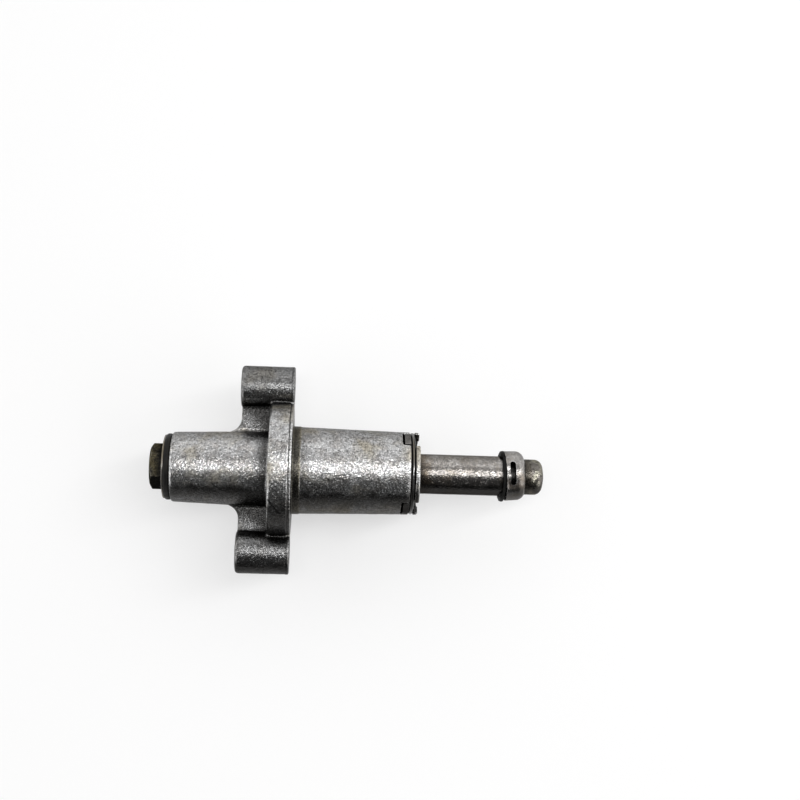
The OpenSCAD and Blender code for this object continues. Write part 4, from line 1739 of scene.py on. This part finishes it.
@dataclass
class Plunger:
    """The hollow plunger tube with two flats.

    Sizes are in millimetres and repeat the CAD model's. The last three fields say how the mesh is
    cut and how finely it is made.
    """

    rod_d: float = 12.2
    rod_af: float = 12.0
    bore_d: float = 8.7
    rod_x: float = 21.6
    nut_len: float = 11.9
    front_x: float = 68.289
    nut_bore_d: float = 8.5
    groove_x: float = 66.616
    groove_w: float = 1.7
    groove_depth: float = 0.42
    overrun: float = 1.0
    turn_steps: int = 192
    bore_steps: int = 96

    def tube(self) -> BMesh:
        """The tube with its flats, its bore and the groove under the window.

        Returns:
            The tube.
        """
        over, steps = self.overrun, self.turn_steps
        nut_end = self.rod_x + self.nut_len
        bar = Mesh.turned([(self.rod_x, 0.0), (self.rod_x, self.rod_d / 2),
                           (self.front_x, self.rod_d / 2), (self.front_x, 0.0)], steps)
        near, far = self.rod_af / 2, self.rod_d
        flats = [Mesh.block((nut_end, near, -far), (self.front_x + over, far, far), turn)
                 for turn in (0, 180)]
        half = self.groove_w / 2
        floor_r = self.rod_af / 2 - self.groove_depth
        groove = Mesh.turned([(self.groove_x - half, floor_r), (self.groove_x - half, self.rod_d),
                              (self.groove_x + half, self.rod_d), (self.groove_x + half, floor_r)],
                             steps, closed=True)
        bore = Mesh.turned([(self.rod_x - over, 0.0), (self.rod_x - over, self.nut_bore_d / 2),
                            (nut_end, self.nut_bore_d / 2), (nut_end, self.bore_d / 2),
                            (self.front_x + over, self.bore_d / 2),
                            (self.front_x + over, 0.0)], self.bore_steps)
        return Mesh.worked(bar, [*flats, groove, bore], Cut.REMOVE)

    def build(self, bench: Bench) -> None:
        """Builds and dresses the tube.

        Args:
            bench: makes the piece.
        """
        bench.lay(self.tube(), "plunger_tube", Body.PLUNGER)


@dataclass
class Drive:
    """The pieces inside, which keep their CAD shapes."""

    nodes: tuple[str, ...] = ("thrust_seat", "screw_shaft", "torsion_spring", "spacer_sleeve")

    def build(self, bench: Bench) -> None:
        """Gives each inner piece its finish.

        Args:
            bench: holds the finishes.
        """
        for node in self.nodes:
            bench.dress(node)


@dataclass(frozen=True)
class Glow:
    """A part of the room's light, which changes between two limits of a direction.

    Args:
        low: the limit that gives the dim level.
        high: the limit that gives the bright level.
        dim: the level before the first limit.
        bright: the level after the second.
    """

    low: float
    high: float
    dim: float = 0.0
    bright: float = 1.0

    def level(self, sheet: Sheet, direction: Socket) -> Socket:
        """The level for a part of the direction."""
        return sheet.ramp(direction, self.low, self.high, to_low=self.dim, to_high=self.bright)


@dataclass(frozen=True)
class Lamp:
    """A soft rectangular lamp that shines straight down.

    Args:
        name: the lamp's name.
        place: where it is, in metres.
        turn_deg: its turn around the vertical.
        size: its length and width.
        level: brightness of its face.
    """

    name: str
    place: Place
    turn_deg: float
    size: tuple[float, float]
    level: float

    def add(self) -> None:
        """Adds the lamp to the scene."""
        data = bpy.data.lights.new(self.name, "AREA")
        data.shape = "RECTANGLE"
        data.size, data.size_y = self.size
        data.energy = self.level * math.pi * self.size[0] * self.size[1]
        lamp = bpy.data.objects.new(self.name, data)
        lamp.location = self.place
        lamp.rotation_euler = (0.0, 0.0, math.radians(self.turn_deg))
        bpy.context.scene.collection.objects.link(lamp)


@dataclass
class Studio:
    """Floor, light and camera. Lengths are in metres.

    Args:
        focal_px: focal length in pixels of an image that is image_px wide.
        distance: from the camera to the point that it looks at.
        lean_deg: how far the camera leans back along the plunger.
        tilt_deg: how far it leans towards the near lug.
        roll_deg: clockwise turn of the object in the image.
        target: the point at the image's centre.
        image_px: the image's width.
        sensor_mm: width of the camera's sensor.
        nearest: the least distance that the camera sees.
        floor_size: the floor's size.
        floor_level: the floor's grey.
        floor_rough: its roughness.
        floor_glow: share of its own light where it is seen.
        front: light from the side of the near lug.
        back: light from the side of the far lug.
        low: how both fade towards the horizon.
        horizon: light at the horizon.
        near: how that fades on the side of the near lug.
        ends: light from both ends of the plunger's axis.
        overhead: the lamp.
    """

    focal_px: float = 1300.0
    distance: float = 0.3992
    lean_deg: float = 3.375
    tilt_deg: float = 7.0
    roll_deg: float = 1.473
    target: Place = (0.0322, 0.0225, 0.0)
    image_px: float = 800.0
    sensor_mm: float = 36.0
    nearest: float = 0.01
    floor_size: float = 4.0
    floor_level: float = 0.97
    floor_rough: float = 0.8
    floor_glow: float = 0.5
    front: Glow = Glow(-0.3, 0.1, 0.035, 0.22)
    back: Glow = Glow(0.42, 0.8, bright=0.9)
    low: Glow = Glow(0.12, 0.34, 0.62)
    horizon: Glow = Glow(0.34, 0.12, bright=0.6)
    near: Glow = Glow(-0.7, 0.2, 0.2)
    ends: Glow = Glow(0.4, 0.65, bright=1.4)
    overhead: Lamp = Lamp("overhead", (0.45, 0.2, 0.78), 19.0, (1.38, 0.12), 7.8)

    def camera(self) -> None:
        """Adds the camera at the photograph's angle."""
        data = bpy.data.cameras.new("camera")
        data.sensor_width = self.sensor_mm
        data.lens = data.sensor_width * self.focal_px / self.image_px
        data.clip_start = self.nearest
        lean, roll = math.radians(self.lean_deg), math.radians(self.roll_deg)
        tilt = math.radians(self.tilt_deg)
        back = Vector((-math.sin(lean) * math.cos(tilt), -math.sin(tilt),
                       math.cos(lean) * math.cos(tilt)))
        right = Vector((-math.sin(roll), math.cos(roll), 0.0)).cross(back).normalized()
        turn = Matrix((right, back.cross(right), back)).transposed().to_4x4()
        camera = bpy.data.objects.new("camera", data)
        camera.matrix_world = Matrix.Translation(Vector(self.target) + back * self.distance) @ turn
        bpy.context.scene.collection.objects.link(camera)
        bpy.context.scene.camera = camera

    def floor(self, height: float) -> None:
        """Adds the pale floor that the tensioner lies on.

        Args:
            height: the floor's height.
        """
        shape = bmesh.new()
        bmesh.ops.create_grid(shape, x_segments=1, y_segments=1, size=self.floor_size)
        bmesh.ops.translate(shape, verts=shape.verts, vec=(0.0, 0.0, height))
        floor = Mesh.temporary(shape, "floor")
        material = bpy.data.materials.new("pale_floor")
        material.use_nodes = True
        sheet = Sheet(material.node_tree)
        paint = material.node_tree.nodes["Principled BSDF"]
        paint.inputs["Base Color"].default_value = (*grey(self.floor_level), 1.0)
        paint.inputs["Roughness"].default_value = self.floor_rough
        glow = sheet.add("Emission")
        path = sheet.add("LightPath")
        seen = sheet.maths("MAXIMUM", path.outputs["Is Camera Ray"], path.outputs["Is Glossy Ray"])
        seen = sheet.maths("MAXIMUM", seen, path.outputs["Is Transmission Ray"])
        blend = sheet.add("MixShader")
        sheet.feed(blend.inputs[0], sheet.maths("MULTIPLY", seen, self.floor_glow))
        sheet.feed(blend.inputs[1], paint.outputs[0])
        sheet.feed(blend.inputs[2], glow.outputs[0])
        sheet.feed(material.node_tree.nodes["Material Output"].inputs["Surface"], blend.outputs[0])
        floor.data.materials.append(material)

    def world(self) -> None:
        """Lights the room, pale overhead and dark in front. The camera sees it white."""
        world = bpy.data.worlds.new("room")
        world.use_nodes = True
        bpy.context.scene.world = world
        sheet = Sheet(world.node_tree)
        ground = world.node_tree.nodes["Background"]
        parts = sheet.add("SeparateXYZ")
        sheet.feed(parts.inputs[0], sheet.add("TexCoord").outputs["Generated"])
        side, height = parts.outputs["Y"], parts.outputs["Z"]
        back = sheet.maths("ADD", self.front.level(sheet, side), self.back.level(sheet, side))
        back = sheet.maths("MULTIPLY", back, self.low.level(sheet, height))
        horizon = sheet.maths("MULTIPLY", self.horizon.level(sheet, height),
                              self.near.level(sheet, side))
        ends = self.ends.level(sheet, sheet.maths("ABSOLUTE", parts.outputs["X"]))
        level = sheet.maths("MAXIMUM", sheet.maths("MAXIMUM", back, horizon), ends)
        seen = sheet.add("LightPath").outputs["Is Camera Ray"]
        unseen = sheet.maths("MULTIPLY", level, sheet.maths("SUBTRACT", 1.0, seen))
        level = sheet.maths("ADD", unseen, seen)
        ground.inputs["Color"].default_value = (1.0, 1.0, 1.0, 1.0)
        sheet.feed(ground.inputs["Strength"], level)

    def build(self, floor_z: float) -> None:
        """Sets up the whole studio.

        Args:
            floor_z: the floor's height.
        """
        self.world()
        self.camera()
        self.floor(floor_z)
        self.overhead.add()
        bpy.context.scene.view_settings.view_transform = "Standard"


def main() -> None:
    """Builds the pieces and the studio."""
    logging.basicConfig(level=logging.INFO, format="%(name)s: %(message)s")
    bench = Bench()
    for assembly in (Housing(), RearPlug(), Retention(), Plunger(), EndCup(), Drive()):
        assembly.build(bench)
    Studio().build(CAD_BOX[0][2])


if __name__ == "__main__":
    main()
